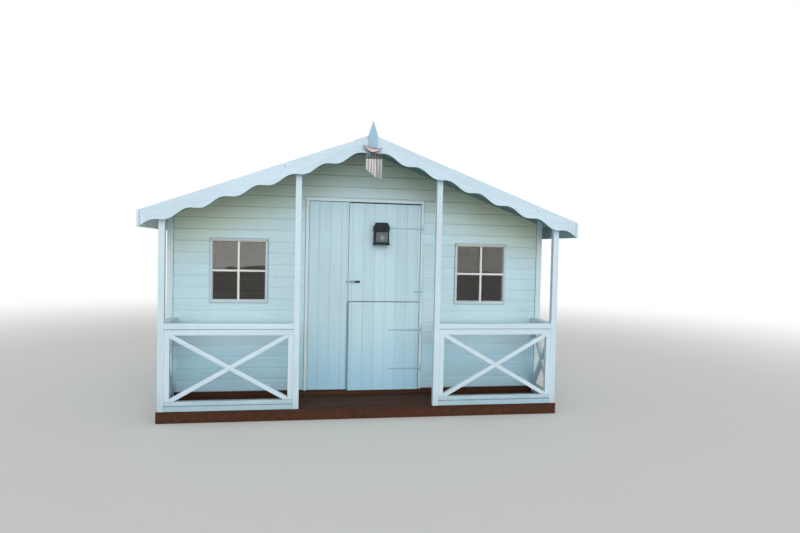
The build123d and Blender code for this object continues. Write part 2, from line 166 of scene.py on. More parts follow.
class FinishColours(bpy.types.PropertyGroup):
    """Colours of the finishes."""
    wall_paint: colour("Wall paint", "Paint on walls and doors", 0.525, 0.725, 0.795)
    trim_paint: colour("Trim paint", "Paint on trims, posts and rails", 0.585, 0.735, 0.835)
    finial_paint: colour("Finial paint", "Bluer paint on the finial", 0.30, 0.49, 0.64)
    door_paint: colour("Door paint", "Paint on the doors and the panel", 0.495, 0.69, 0.775)
    frame_paint: colour("Frame paint", "Paint on door frame and corner trims", 0.585, 0.735, 0.785)
    window_paint: colour("Window paint", "Paint on the window frames", 0.50, 0.60, 0.665)
    worn_wood: colour("Worn wood", "Greyed wood where the paint is gone", 0.40, 0.36, 0.27)
    # Painted shade for joints and gaps: between the leaves, under the straps, beside the panel, on the wall behind the
    # boards' gaps and at the bargeboards' ends.
    gap_shade: colour("Joint grime", "Grime in the joints of boards and doors", 0.13, 0.235, 0.29)
    glazing_paint: colour("Glazing paint", "Paint on the glazing bars", 0.80, 0.81, 0.79)
    # Painted shade as well as weathering: the underside is painted dark where the roof shades it.
    roof_paint: colour("Roof underside", "Weathered paint under the roof boards", 0.31, 0.52, 0.56)
    base_stain: colour("Base stain", "Stain on deck, joists and bearers", 0.082, 0.034, 0.018)
    bare_wood: colour("Bare timber", "Unpainted softwood inside", 0.50, 0.33, 0.18)
    felt: colour("Felt", "Mineral felt on the roof", 0.045, 0.055, 0.052)
    # Algae tints the streaks, and under the eaves it also carries painted shade of the overhang.
    algae: colour("Algae", "Growth and dust under the eaves", 0.485, 0.49, 0.30)
    # Painted shade: the dark tone laid on downward faces, in the seam under each rail cap and on the right fascia's
    # inner face
    under_dirt: colour("Grime", "Grime on undersides and in seams", 0.10, 0.155, 0.155)
    # Painted shade: a bluer, darker tone at the foot of doors, panel and frames, and on the front wall behind the
    # balustrades.
    damp: colour("Damp foot", "Bluer tone at the foot of doors and panel", 0.28, 0.57, 0.78)
    mud: colour("Splash", "Splashed soil on the lowest boards", 0.20, 0.17, 0.12)
    rust: colour("Rust", "Rust on nails, bolts and the lantern", 0.16, 0.06, 0.025)


class StageSettings(bpy.types.PropertyGroup):
    """Camera, light and floor."""
    lens: FloatProperty(name="Lens", description="Focal length on a 36 mm sensor", default=26.1, unit="CAMERA")
    eye: FloatVectorProperty(name="Eye", description="Camera place", size=3, subtype="TRANSLATION",
                             default=(-0.59685, -6.61912, 1.53044))
    yaw: angle("Yaw", "Camera turn to the right", 0.1673)
    pitch: angle("Pitch", "Camera tilt upwards", -0.02876)
    roll: angle("Roll", "Camera roll", 0.02135)
    sky: strength("Sky", "Strength of the light from all round", 0.55)
    sun: strength("Sun", "Strength of the soft sun lamp", 1.0)
    sun_height: angle("Sun height", "Lamp above the horizon", math.radians(20))
    sun_side: angle("Sun side", "Lamp to the right of straight in front", math.radians(-9))
    fill: strength("Fill", "Strength of the low lamp that reaches under the roof", 1.20)
    fill_height: angle("Fill height", "Low lamp above the horizon", math.radians(4))
    fill_side: angle("Fill side", "Low lamp to the right of straight in front", math.radians(10))
    sun_spread: angle("Sun spread", "Width of the lamps in the sky, which softens their shadows", math.radians(55))
    ground: colour("Floor", "Colour of the floor", 0.80, 0.80, 0.78)


def settings(name):
    """One of the property groups that the scene holds."""
    return getattr(bpy.context.scene, "summerhouse_" + name)


def shade(paint, factor=1.0):
    """A colour made deeper or paler. It may be given by its name among the finishes."""
    if isinstance(paint, str):
        paint = getattr(settings("colours"), paint)
    return tuple(min(1.0, c * factor) for c in paint)


# Mesh tools

def prism(bm, ring_a, ring_b):
    """A closed solid between two outlines with the same number of points."""
    a = [bm.verts.new(p) for p in ring_a]
    b = [bm.verts.new(p) for p in ring_b]
    bm.faces.new(a)
    bm.faces.new(b[::-1])
    for i in range(len(a)):
        j = (i + 1) % len(a)
        bm.faces.new((a[j], a[i], b[i], b[j]))


def slab(bm, outline, place, start, end):
    """A prism of one outline, where place(a, b, along) puts a point of it at a distance along."""
    prism(bm, [place(a, b, start) for a, b in outline], [place(a, b, end) for a, b in outline])


def upright(x, y, z):
    """Places an outline's points for a slab that stands up."""
    return x, y, z


def endwise(x, z, y):
    """Places an outline's points for a slab that runs from front to back."""
    return x, y, z


def trim(bm, point, normal):
    """Cuts everything off on the side that the normal points to, and closes the cut."""
    everything = bm.verts[:] + bm.edges[:] + bm.faces[:]
    cut = bmesh.ops.bisect_plane(bm, geom=everything, dist=1e-6, plane_co=point, plane_no=normal, clear_outer=True)
    edges = [e for e in cut["geom_cut"] if isinstance(e, bmesh.types.BMEdge) and e.is_boundary]
    if edges:
        bmesh.ops.edgeloop_fill(bm, edges=edges)


def merge(target, part):
    """Adds a part to the mesh being built, and lets go of it."""
    if part.faces:
        passing = bpy.data.meshes.new("passing")
        part.to_mesh(passing)
        target.from_mesh(passing)
        bpy.data.meshes.remove(passing)
    part.free()


def grooved(a0, a1, face, back, lines, wide, deep, both=False):
    """Outline of boards edge to edge: a V at each line in the face, and in the back too if both."""
    sign = 1 if back > face else -1
    inside = [a for a in lines if a0 + wide < a < a1 - wide]
    points = [(a0, face)]
    for a in inside:
        points += [(a - wide / 2, face), (a, face + sign * deep), (a + wide / 2, face)]
    points += [(a1, face), (a1, back)]
    if both:
        for a in reversed(inside):
            points += [(a + wide / 2, back), (a, back - sign * deep), (a - wide / 2, back)]
    points.append((a0, back))
    return points


def lines_between(first, pitch, low, high):
    """Every first + n * pitch that lies between two bounds."""
    start = math.ceil((low - first) / pitch)
    return [first + pitch * k for k in range(start, int((high - first) / pitch) + 1)]


def circle(bm, centre, axis, radius, height, sides):
    """A ring of points round an axis, some way along it."""
    turn = axis.to_track_quat("Z", "Y").to_matrix()
    turns = [2 * math.pi * i / sides for i in range(sides)]
    return [bm.verts.new(centre + turn @ Vector((math.cos(a) * radius, math.sin(a) * radius, height))) for a in turns]


def bridge(bm, low, high):
    """The faces between two rings."""
    for i in range(len(low)):
        j = (i + 1) % len(low)
        bm.faces.new((low[i], low[j], high[j], high[i]))


# Heads of fixings: radius, height and sides
CLOUT = (0.0048, 0.0016, 8)
NAIL = (0.0028, 0.0006, 6)
SCREW = (0.0042, 0.0014, 12)
BOLT = (0.0055, 0.0014, 12)
PIN = (0.0048, 0.0012, 12)
DOME = ((1.0, -0.15), (0.92, 0.55), (0.55, 0.9))   # shares of the radius and the height


def stud(bm, centre, normal, head):
    """A domed nail or screw head that sits on a surface."""
    centre, normal = Vector(centre), Vector(normal)
    radius, height, sides = head
    rings = [circle(bm, centre, normal, radius * r, height * h, sides) for r, h in DOME]
    tip = bm.verts.new(centre + normal * height)
    for low, high in zip(rings, rings[1:]):
        bridge(bm, low, high)
    for i in range(sides):
        bm.faces.new((rings[-1][i], rings[-1][(i + 1) % sides], tip))


def lathe(bm, rings, sides=20):
    """An upright turned solid from (centre, radius) rings, closed at both ends."""
    loops = [circle(bm, centre, Vector(UP), radius, 0.0, sides) for centre, radius in rings]
    for low, high in zip(loops, loops[1:]):
        bridge(bm, low, high)
    bm.faces.new(loops[0][::-1])
    bm.faces.new(loops[-1])


def soften(made, width):
    """Rounds the sharp edges of a piece."""
    edge = made.modifiers.new("rounded", "BEVEL")
    edge.width = width
    edge.segments = 2
    edge.limit_method = "ANGLE"
    edge.angle_limit = math.radians(35)
    edge.harden_normals = False


def stand(name, data):
    """Puts a new object in the scene."""
    made = bpy.data.objects.new(name, data)
    bpy.context.scene.collection.objects.link(made)
    return made


def piece(bm, name, slot, *materials, body="house", replaces=(), bevel=0.0, solid=True):
    """Turns the built mesh into a named piece that rides on a body."""
    if not bm.faces:
        raise RuntimeError(f"{name} has no faces")
    if solid:
        bmesh.ops.recalc_face_normals(bm, faces=bm.faces[:])
    mesh = bpy.data.meshes.new(name)
    bm.to_mesh(mesh)
    bm.free()
    made = stand(name, mesh)
    for material in materials:
        mesh.materials.append(material)
    if bevel:
        soften(made, bevel)
    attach(made, body)
    if replaces:
        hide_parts(*replaces)
    return made


# Shader tools

class Nodes:
    """Adds nodes to one tree, a short line each. Values may be numbers, colours or other nodes' outputs."""

    def __init__(self, tree):
        self.tree = tree

    def feed(self, socket, value):
        if isinstance(value, bpy.types.NodeSocket):
            self.tree.links.new(value, socket)
        else:
            socket.default_value = (*value[:3], 1.0) if socket.type == "RGBA" else value

    def add(self, kind, values=None, **options):
        made = self.tree.nodes.new("ShaderNode" + kind)
        for key, value in options.items():
            setattr(made, key, value)
        for key, value in (values or {}).items():
            self.feed(made.inputs[key], value)
        return made

    def calc(self, operation, a, b=0.0, clamp=False):
        return self.add("Math", {0: a, 1: b}, operation=operation, use_clamp=clamp).outputs[0]

    def plus(self, a, b):
        return self.calc("ADD", a, b)

    def minus(self, a, b):
        return self.calc("SUBTRACT", a, b)

    def times(self, *factors):
        return functools.reduce(lambda a, b: self.calc("MULTIPLY", a, b), factors)

    def spread(self, value, low, high, to_low=0.0, to_high=1.0, kind="SMOOTHSTEP"):
        """Maps one range of values to another, eased at both ends."""
        values = {"Value": value, "From Min": low, "From Max": high, "To Min": to_low, "To Max": to_high}
        return self.add("MapRange", values, interpolation_type=kind).outputs[0]

    def ramp(self, value, low, high, to_low=0.0, to_high=1.0):
        """Maps one range of values to another in a straight line."""
        return self.spread(value, low, high, to_low, to_high, "LINEAR")

    def stretch(self, vector, factors):
        return self.add("VectorMath", {0: vector, 1: factors}, operation="MULTIPLY").outputs[0]

    def scaled(self, vector, factor):
        return self.add("VectorMath", {0: vector, "Scale": factor}, operation="SCALE").outputs[0]

    def cloud(self, vector, scale, detail=3.0, rough=0.55, twist=0.0):
        values = {"Vector": vector, "Scale": scale, "Detail": detail, "Roughness": rough, "Distortion": twist}
        return self.add("TexNoise", values).outputs["Fac"]

    def blend(self, share, a, b):
        """Colour a, with a share of colour b over it."""
        return self.add("Mix", {0: share, 6: a, 7: b}, data_type="RGBA").outputs[2]

    def group(self, shared, **values):
        made = self.add("Group", node_tree=shared())
        for key, value in values.items():
            self.feed(made.inputs[key], value)
        return made.outputs


def shared_group(**inputs):
    """Turns a function that fills a node group into one that gives that group, built once."""
    def wrap(fill):
        @functools.wraps(fill)
        def give():
            tree = bpy.data.node_groups.get(fill.__name__)
            if not tree:
                tree = bpy.data.node_groups.new(fill.__name__, "ShaderNodeTree")
                for label, default in inputs.items():
                    kind = "NodeSocketFloat" if isinstance(default, float) else "NodeSocketVector"
                    tree.interface.new_socket(label, in_out="INPUT", socket_type=kind).default_value = default
                nodes = Nodes(tree)
                results = fill(nodes, tree.nodes.new("NodeGroupInput").outputs)
                for label, value in results.items():
                    kind = "NodeSocketVector" if value.type == "VECTOR" else "NodeSocketFloat"
                    tree.interface.new_socket(label, in_out="OUTPUT", socket_type=kind)
                out = tree.nodes.new("NodeGroupOutput").inputs
                for label, value in results.items():
                    nodes.feed(out[label], value)
            return tree
        return give
    return wrap


@shared_group(Vector=(0, 0, 0), Stretch=(1, 1, 1), Scale=30.0)
def timber_grain(nodes, given):
    """Long fibres, pores and knots of sawn timber."""
    sized = nodes.scaled(nodes.stretch(given["Vector"], given["Stretch"]), given["Scale"])
    fibres, pores = nodes.cloud(sized, 1.0, 6.0, 0.62, 0.4), nodes.cloud(sized, 4.3, 3.0, 0.6)
    cells = nodes.add("TexVoronoi", {"Vector": given["Vector"], "Scale": 2.6}).outputs["Distance"]
    return {"Tone": nodes.plus(nodes.times(fibres, 0.7), nodes.times(pores, 0.3)),
            "Height": nodes.plus(nodes.spread(fibres, 0.30, 0.68), nodes.times(pores, 0.5)),
            "Knots": nodes.spread(cells, 0.02, 0.055, 1.0, 0.0)}


@shared_group(Vector=(0, 0, 0), Across=(0, 0, 1), First=0.0, Pitch=0.1)
def board_number(nodes, given):
    """Numbers the boards across a wall, and shifts the grain from board to board."""
    place = nodes.add("VectorMath", {0: given["Vector"], 1: given["Across"]}, operation="DOT_PRODUCT").outputs["Value"]
    number = nodes.calc("FLOOR", nodes.calc("DIVIDE", nodes.minus(place, given["First"]), given["Pitch"]))
    random = nodes.add("TexWhiteNoise", {"W": number}, noise_dimensions="1D").outputs
    jump = nodes.scaled(random["Color"], 9.0)
    moved = nodes.add("VectorMath", {0: given["Vector"], 1: jump}, operation="ADD").outputs[0]
    return {"Random": random["Value"], "Shifted vector": moved}


@shared_group(Vector=(0, 0, 0), Reach=0.5)
def weather_marks(nodes, given):
    """Splash near the ground, streaks from above and broad fading."""
    vector = given["Vector"]
    height = nodes.add("SeparateXYZ", {0: vector}).outputs["Z"]
    level = nodes.plus(height, nodes.times(nodes.minus(nodes.cloud(vector, 3.5, 5.0, 0.65), 0.5), 0.35))
    runs = nodes.cloud(nodes.stretch(vector, (16.0, 16.0, 0.9)), 1.0, 4.0, 0.6)
    return {"Splash": nodes.spread(level, 0.08, given["Reach"], 1.0, 0.0),
            "Streaks": nodes.spread(runs, 0.52, 0.74),
            "Fading": nodes.cloud(vector, 1.15, 4.0, 0.6),
            "Specks": nodes.spread(nodes.cloud(vector, 95.0, 2.0, 0.5), 0.66, 0.74)}


ALONG = {"X": (0.05, 1.0, 1.0), "Y": (1.0, 0.05, 1.0), "Z": (1.0, 1.0, 0.05)}   # draws the grain out along an axis


class Finish(Nodes):
    """A material being made, with its shader and the object's own coordinates."""

    def __init__(self, name):
        self.material = bpy.data.materials.new("finish_" + name)
        self.material.use_nodes = True
        super().__init__(self.material.node_tree)
        self.shader = self.tree.nodes["Principled BSDF"]
        self.place = self.add("TexCoord").outputs["Object"]

    @functools.cached_property
    def at(self):
        """Outputs X, Y and Z of the place."""
        return self.add("SeparateXYZ", {0: self.place}).outputs

    @functools.cached_property
    def normal(self):
        """Outputs X, Y and Z of the face's direction."""
        return self.add("SeparateXYZ", {0: self.add("NewGeometry").outputs["True Normal"]}).outputs

    def board(self, boards):
        """A random value for each board or loose piece, and a place that jumps from board to board."""
        if not boards:
            return self.add("NewGeometry").outputs["Random Per Island"], self.place
        across, first, pitch = boards
        numbers = self.group(board_number, Vector=self.place, Across=across, First=first, Pitch=pitch)
        return numbers["Random"], numbers["Shifted vector"]

    def grain(self, vector, along, scale):
        return self.group(timber_grain, Vector=vector, Stretch=ALONG[along], Scale=scale)

    def marks(self, vector, reach):
        return self.group(weather_marks, Vector=vector, Reach=reach)

    def done(self, inputs, height, strength, distance):
        """Sets the shader's inputs and the relief, and gives the material."""
        relief = self.add("Bump", {"Height": height, "Strength": strength, "Distance": distance})
        for key, value in {**inputs, "Normal": relief.outputs["Normal"]}.items():
            self.feed(self.shader.inputs[key], value)
        return self.material


def once(build):
    """Makes each finish one time, and gives later calls the same material."""
    @functools.wraps(build)
    def give(name, *values, **options):
        return bpy.data.materials.get("finish_" + name) or build(name, *values, **options)
    return give


@once
def painted_timber(name, paint, along, boards=None, reach=0.45, eave=0.0, rough=0.5, bump=0.35, turned=None,
                   streak=0.12, splash=0.42, soil="mud", below_dirt=0.0, top_dirt=0.0, bands=(), inner=()):
    """Brushed paint over softwood, with board to board changes, faded areas, algae and splash marks, and painted shade
    and light where asked.
    """
    f = Finish(name)
    change, shifted = f.board(boards)
    if turned:
        swapped = f.add("CombineXYZ", {"X": f.at["Y"], "Y": f.at["X"], "Z": f.at["Z"]}).outputs[0]
        outer = f.calc("GREATER_THAN", f.calc("ABSOLUTE", f.at["X"]), turned)
        shifted = f.add("Mix", {0: outer, 4: shifted, 5: swapped}, data_type="VECTOR").outputs[1]
    grain, marks = f.grain(shifted, along, 42.0), f.marks(f.place, reach)
    tone = f.times(f.ramp(grain["Tone"], 0.30, 0.70, 0.93, 1.05), f.ramp(change, 0.0, 1.0, 0.955, 1.035),
                   f.ramp(marks["Fading"], 0.30, 0.70, 0.94, 1.04))
    skin = f.blend(f.times(marks["Streaks"], streak), f.scaled(shade(paint), tone), shade("algae"))
    # Algae and dust under the eaves, with painted shade of the roof overhang: darkest near the roof and in the middle,
    # paler towards the ends.
    if eave:
        aside = f.calc("ABSOLUTE", f.at["X"])
        below = f.minus(f.minus(RIDGE, f.times(aside, FALL)), f.at["Z"])
        uneven = f.plus(below, f.times(f.cloud(f.place, 2.2, 4.0), 0.25))
        algae_and_shade = f.times(f.spread(uneven, 0.12, 0.75, 1.0, 0.0), eave)
        algae_and_shade_tint = f.blend(f.spread(aside, 0.3, 1.6), shade("algae", 0.85), shade("algae", 1.35))
        skin = f.blend(algae_and_shade, skin, algae_and_shade_tint)
    # The splash at the foot takes the given tone: soil for most finishes, painted shade for doors and frames.
    skin = f.blend(f.times(marks["Splash"], splash), skin, shade(soil))
    # Painted shade on faces that look downwards.
    if below_dirt:
        hidden = f.spread(f.times(f.normal["Z"], -1.0), 0.35, 0.8)
        skin = f.blend(f.times(hidden, below_dirt), skin, shade("under_dirt"))
    if top_dirt:
        patchy = f.spread(f.cloud(f.place, 7.0, 5.0, 0.65), 0.30, 0.62, 0.35, 1.0)
        skin = f.blend(f.times(f.spread(f.normal["Z"], 0.5, 0.9), patchy, top_dirt), skin, shade("mud"))
    # Tints for the inner faces, left first: the fascias get painted light at the left and painted shade at the right.
    for sign, (share, tint) in zip((-1.0, 1.0), inner):
        side = f.calc("GREATER_THAN", f.times(f.at["X"], sign), 0.0)
        inward = f.spread(f.times(f.normal["X"], -sign), 0.5, 0.9)
        skin = f.blend(f.times(side, inward, share), skin, shade(tint))
    # Bands along a line: painted shade in joints, under straps, under rail caps and on the front wall behind the
    # balustrades, and worn wood along the window heads.
    for axis, place, half, share, tint, *top in bands:
        off = f.calc("ABSOLUTE", f.minus(f.at[axis], place))
        cover = f.times(f.spread(off, half * 0.5, half * 1.5, 1.0, 0.0), share)
        if top:
            cover = f.times(cover, f.calc("LESS_THAN", f.at["Z"], top[0]))
        skin = f.blend(cover, skin, shade(tint))
    skin = f.blend(f.times(marks["Specks"], 0.18), skin, shade("mud"))
    dull = f.ramp(grain["Tone"], 0.3, 0.7, rough - 0.08, rough + 0.10)
    dull = f.calc("ADD", dull, f.times(marks["Splash"], 0.25), clamp=True)
    lumps = f.plus(grain["Height"], f.times(f.cloud(f.place, 260.0), 0.6))
    return f.done({"Base Color": skin, "Roughness": dull}, lumps, bump, 0.0012)


@once
def raw_timber(name, wood, along, boards=None, dark=0.6, sheen=0.4, rough=0.72, mud=0.0):
    """Unpainted or stained softwood with fibres, knots and board to board changes."""
    f = Finish(name)
    change, shifted = f.board(boards)
    grain, marks = f.grain(shifted, along, 26.0), f.marks(f.place, 0.35)
    base = f.blend(f.spread(grain["Tone"], 0.32, 0.68), shade(wood, dark), shade(wood))
    base = f.scaled(base, f.ramp(change, 0.0, 1.0, 0.80, 1.15))
    base = f.blend(f.times(grain["Knots"], 0.55), base, shade(wood, 0.3))
    if mud:
        walked = f.spread(f.calc("ABSOLUTE", f.at["X"]), 0.5, 0.8, 1.0, 0.2)
        soil = f.spread(f.cloud(f.place, 5.5, 6.0, 0.68), 0.42, 0.66)
        base = f.blend(f.times(soil, walked, mud), base, shade("mud", 0.22))
    dull = f.ramp(marks["Fading"], 0.3, 0.7, rough - 0.12, rough + 0.12)
    return f.done({"Base Color": base, "Roughness": dull, "Specular IOR Level": sheen}, grain["Height"], 0.5, 0.002)


@once
def mineral_felt(name):
    """Dark felt with mineral chips, faint runs of water and a little moss."""
    f = Finish(name)
    chips = f.add("TexVoronoi", {"Vector": f.place, "Scale": 420.0}).outputs
    base = f.scaled(shade("felt"), f.ramp(chips["Color"], 0.2, 0.9, 0.65, 1.7))
    runs = f.spread(f.cloud(f.stretch(f.place, (0.8, 9.0, 0.8)), 1.0, 5.0, 0.62), 0.45, 0.75)
    moss = f.spread(f.cloud(f.place, 3.1, 7.0, 0.7), 0.60, 0.70)
    base = f.blend(f.times(runs, 0.35), base, shade("felt", 2.6))
    base = f.blend(f.times(moss, 0.6), base, (0.09, 0.12, 0.035))
    lumps = f.plus(chips["Distance"], f.times(f.cloud(f.place, 14.0), 2.0))
    return f.done({"Base Color": base, "Roughness": 0.92}, lumps, 0.6, 0.0015)


@once
def metal(name, tint, metallic, rough, rust=0.0, sheen=0.5):
    """Cast, plated or painted metal with worn patches, and rust if asked."""
    f = Finish(name)
    patches = f.spread(f.marks(f.stretch(f.place, (12, 12, 12)), 0.0)["Fading"], 0.35, 0.65)
    spots = f.spread(f.cloud(f.place, 130.0, 5.0, 0.65), 0.55, 0.68)
    base = f.blend(f.times(spots, rust), f.blend(patches, shade(tint, 0.72), tint), shade("rust"))
    dull = f.ramp(patches, 0.0, 1.0, rough + 0.12, rough - 0.06)
    return f.done({"Base Color": base, "Roughness": dull, "Metallic": metallic, "Specular IOR Level": sheen},
                  f.cloud(f.place, 420.0, 4.0), 0.35, 0.0005)


@once
def worn_bolt(name):
    """Bolt painted over on its fixed half and bare, dark zinc where it slides."""
    f = Finish(name)
    low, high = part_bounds("slide_bolt")
    middle = low.x + (high.x - low.x) * 0.55
    ragged = f.plus(f.at["X"], f.times(f.cloud(f.place, 90.0), 0.006))
    bare = f.spread(ragged, middle, middle + 0.004)
    spots = f.spread(f.cloud(f.place, 150.0, 4.0), 0.45, 0.62)
    zinc = f.blend(spots, (0.035, 0.045, 0.045), (0.075, 0.080, 0.075))
    base = f.blend(bare, f.blend(spots, shade("wall_paint", 0.42), shade("wall_paint", 0.60)), zinc)
    dull = f.ramp(spots, 0.0, 1.0, 0.42, 0.62)
    return f.done({"Base Color": base, "Metallic": f.times(bare, 0.6), "Roughness": dull},
                  f.cloud(f.place, 420.0, 4.0), 0.35, 0.0005)


@once
def window_glass(name):
    """Clear glass with a faint, uneven film and a slight wave."""
    f = Finish(name)
    film = f.spread(f.cloud(f.place, 9.0, 6.0, 0.7), 0.45, 0.8, 0.01, 0.12)
    return f.done({"Base Color": (0.75, 0.745, 0.71), "Transmission Weight": 1.0, "IOR": 1.40, "Roughness": film},
                  f.cloud(f.place, 4.0, 1.0), 0.12, 0.01)


@once
def frosted_glass(name):
    """Etched glass of the lantern, dusty, with a painted highlight in the middle."""
    f = Finish(name)
    low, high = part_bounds("lantern_pane")
    # The centre of a painted highlight on the pane.
    lamp = Vector(((low.x + high.x) / 2 + 0.004, low.y, (low.z + high.z) / 2 - 0.004))
    away = f.add("VectorMath", {0: f.place, 1: lamp}, operation="DISTANCE").outputs["Value"]
    painted_highlight = f.times(f.spread(away, 0.004, 0.036, 1.0, 0.0), 0.75)
    dust = f.spread(f.cloud(f.place, 40.0, 5.0, 0.7), 0.4, 0.7)
    base = f.blend(painted_highlight, f.blend(dust, (0.055, 0.078, 0.092), (0.095, 0.125, 0.148)), (0.27, 0.32, 0.39))
    return f.done({"Base Color": base, "Transmission Weight": 0.15, "Roughness": f.ramp(dust, 0.0, 1.0, 0.35, 0.6)},
                  f.cloud(f.place, 900.0, 2.0), 0.4, 0.0004)


@once
def bamboo(name, light, deep):
    """Dry cane with long fibres and stains."""
    f = Finish(name)
    grain = f.grain(f.place, "Z", 240.0)
    stain = f.spread(f.cloud(f.place, 30.0, 4.0), 0.5, 0.7)
    base = f.blend(f.times(stain, 0.4), f.blend(f.spread(grain["Tone"], 0.3, 0.7), deep, light), shade(deep, 0.75))
    return f.done({"Base Color": base, "Roughness": f.ramp(stain, 0, 1, 0.38, 0.6)}, grain["Height"], 0.3, 0.0004)


@once
def lacquer(name, light, deep, rough):
    """Lacquered wood with grain showing through."""
    f = Finish(name)
    grain = f.grain(f.place, "X", 160.0)
    base = f.blend(f.spread(grain["Tone"], 0.3, 0.7), deep, light)
    return f.done({"Base Color": base, "Roughness": f.ramp(grain["Tone"], 0.3, 0.7, rough - 0.08, rough + 0.1)},
                  grain["Height"], 0.25, 0.0006)


# Finishes by place

PLANED = {"reach": 0.3, "rough": 0.42, "bump": 0.28, "splash": 0.2}
# Joinery gets painted shade on its downward faces.
JOINERY = {"reach": 0.3, "rough": 0.42, "bump": 0.25, "streak": 0.06, "below_dirt": 0.6}
# Doors get painted shade, bluer and darker, in the splash at their foot.
DOOR = {"reach": 0.95, "splash": 0.6, "soil": "damp"}
UNDER_ROOF = {"eave": 0.1, "rough": 0.6, "streak": 0.3}


def wall_finish(tag, along="X", eave=0.75, streak=0.10, splash=0.16, bands=()):
    sizes = settings("boards")
    return painted_timber("wall_paint_" + tag, "wall_paint", along, (UP, sizes.first_edge, sizes.cover),
                          eave=eave, streak=streak, splash=splash, bands=bands)


def front_finish():
    """Wall paint of the front, with painted shade, bluer, where the wall stands behind the balustrades."""
    return wall_finish("front", bands=[("Z", 0.33, 0.26, 0.38, "damp")])


def side_finish():
    return wall_finish("sides", "Y", 0.35, 0.12, 0.25)


def door_finish(node):
    """Door paint, with painted shade in the joint between the leaves and down the lower leaf's free edge."""
    sizes = settings("boards")
    low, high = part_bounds("lower_door")
    # Bands of painted shade along the panel's edge, the leaves' joint and both upright edges of the lower leaf.
    if node == "side_panel":
        bands = [("X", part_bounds(node)[1].x - 0.002, 0.008, 0.75, "gap_shade", high.z)]
    else:
        bands = [("Z", (high.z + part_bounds("upper_door")[0].z) / 2, 0.005, 0.5, "gap_shade")]
    if node == "lower_door":
        bands += [("X", low.x, 0.011, 0.85, "gap_shade"), ("X", high.x, 0.004, 0.6, "gap_shade")]
    return painted_timber("wall_paint_" + node, "door_paint", "Z", (RIGHT, sizes.door_first, sizes.door_pitch),
                          streak=0.06, bands=bands, **DOOR)


def iron_finish():
    """Door paint over the hinges, with a painted shadow along the lower edge of each strap's free end."""
    bands = []
    for strap in straps("upper_hinge_straps") + straps("lower_hinge_straps"):
        tip = min(p.x for p in strap)
        edge = min(p.z for p in strap if p.x < tip + 0.05)
        bands.append(("Z", edge + 0.002, 0.007, 0.42, "gap_shade"))
    return painted_timber("painted_iron", shade("door_paint", 0.95), "X", rough=0.6, bump=0.2, streak=0.0,
                          bands=bands, **DOOR)


def frame_finish(along):
    # The frames' splash at the foot is painted shade, bluer and darker.
    return painted_timber("frame_paint_" + along.lower(), "frame_paint", along, splash=0.5, soil="damp", **JOINERY)


def window_finish():
    """Greyer paint of the window frames, worn to the wood along their heads."""
    return painted_timber("window_paint", "window_paint", "Z", splash=0.15,
                          bands=[("Z", WINDOW_HIGH.z - 0.019, 0.008, 0.75, "worn_wood")], **JOINERY)


def joint_finish():
    """Painted shade, with some dirt, on the wall where it shows between the boards and what they meet."""
    return painted_timber("joint_grime", "gap_shade", "X", reach=0.3, rough=0.7, streak=0.1, splash=0.3)


def trim_finish(along, turned=None):
    name = "trim_paint_" + along.lower() + ("_turned" if turned else "")
    # Painted shade on the downward faces of posts, stiles and braces.
    return painted_timber(name, "trim_paint", along, turned=turned, below_dirt=0.8, **PLANED)


def rail_finish(node):
    """Trim paint with a painted shadow line where one rail lies on the next, and splashed soil with painted shade on
    the lowest rails.
    """
    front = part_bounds(node)[0].y
    seam = part_box(node, lambda p: front + 0.001 < p.y < front + 0.010)[1].z
    looks = {**PLANED, "top_dirt": 0.15}
    if node == "bottom_rails":
        # The lowest rails' splash is soil and painted shade together: a dull, bluish darkening.
        looks.update(reach=0.36, splash=0.6, soil=(0.19, 0.37, 0.46), top_dirt=0.6)
    # The band is a painted shadow line just under the cap.
    return painted_timber("trim_paint_" + node, "trim_paint", "X", turned=SIDE_RAILS, below_dirt=0.8,
                          bands=[("Z", seam - 0.003, 0.004, 0.65, "under_dirt")], **looks)


def fascia_finish():
    """Trim paint on the eave boards, with painted light on the inner face at the left and painted shade on the inner
    face at the right.
    """
    return painted_timber("fascia_paint", "trim_paint", "Y", inner=((0.85, (0.92, 0.97, 0.86)), (0.45, "under_dirt")),
                          **PLANED)


def bargeboard_finish():
    """Trim paint a shade deeper, with a dark line at the joint at each eave end, and painted shade on the downward
    faces.
    """
    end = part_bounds("front_bargeboard_right")[1].x - 0.002
    paint = [c * share for c, share in zip(shade("trim_paint"), (0.92, 0.95, 0.98))]
    return painted_timber("bargeboard_paint", paint, "X", below_dirt=0.8,
                          bands=[("X", place, 0.004, 0.7, "gap_shade") for place in (-end, end)], **PLANED)


def roof_finish(along):
    """Dark paint of the timbers under the roof: weathered, and darkened further as painted shade of the roof."""
    return painted_timber("roof_timber_" + along.lower(), "roof_paint", along, **UNDER_ROOF)


def base_finish(along, mud=0.0):
    name = "stained_timber_" + along.lower() + ("_muddy" if mud else "")
    return raw_timber(name, "base_stain", along, sheen=0.15, rough=0.82, mud=mud)


def bare_finish(along, boards=None, tag=""):
    return raw_timber("bare_timber_" + along.lower() + tag, "bare_wood", along, boards, dark=0.62)


def bowl_rim_finish():
    return lacquer("bowl_rim", (0.10, 0.022, 0.02), (0.04, 0.01, 0.01), 0.4)


def cane_finish():
    return bamboo("dry_bamboo", (0.74, 0.72, 0.74), (0.50, 0.45, 0.45))


# Operators

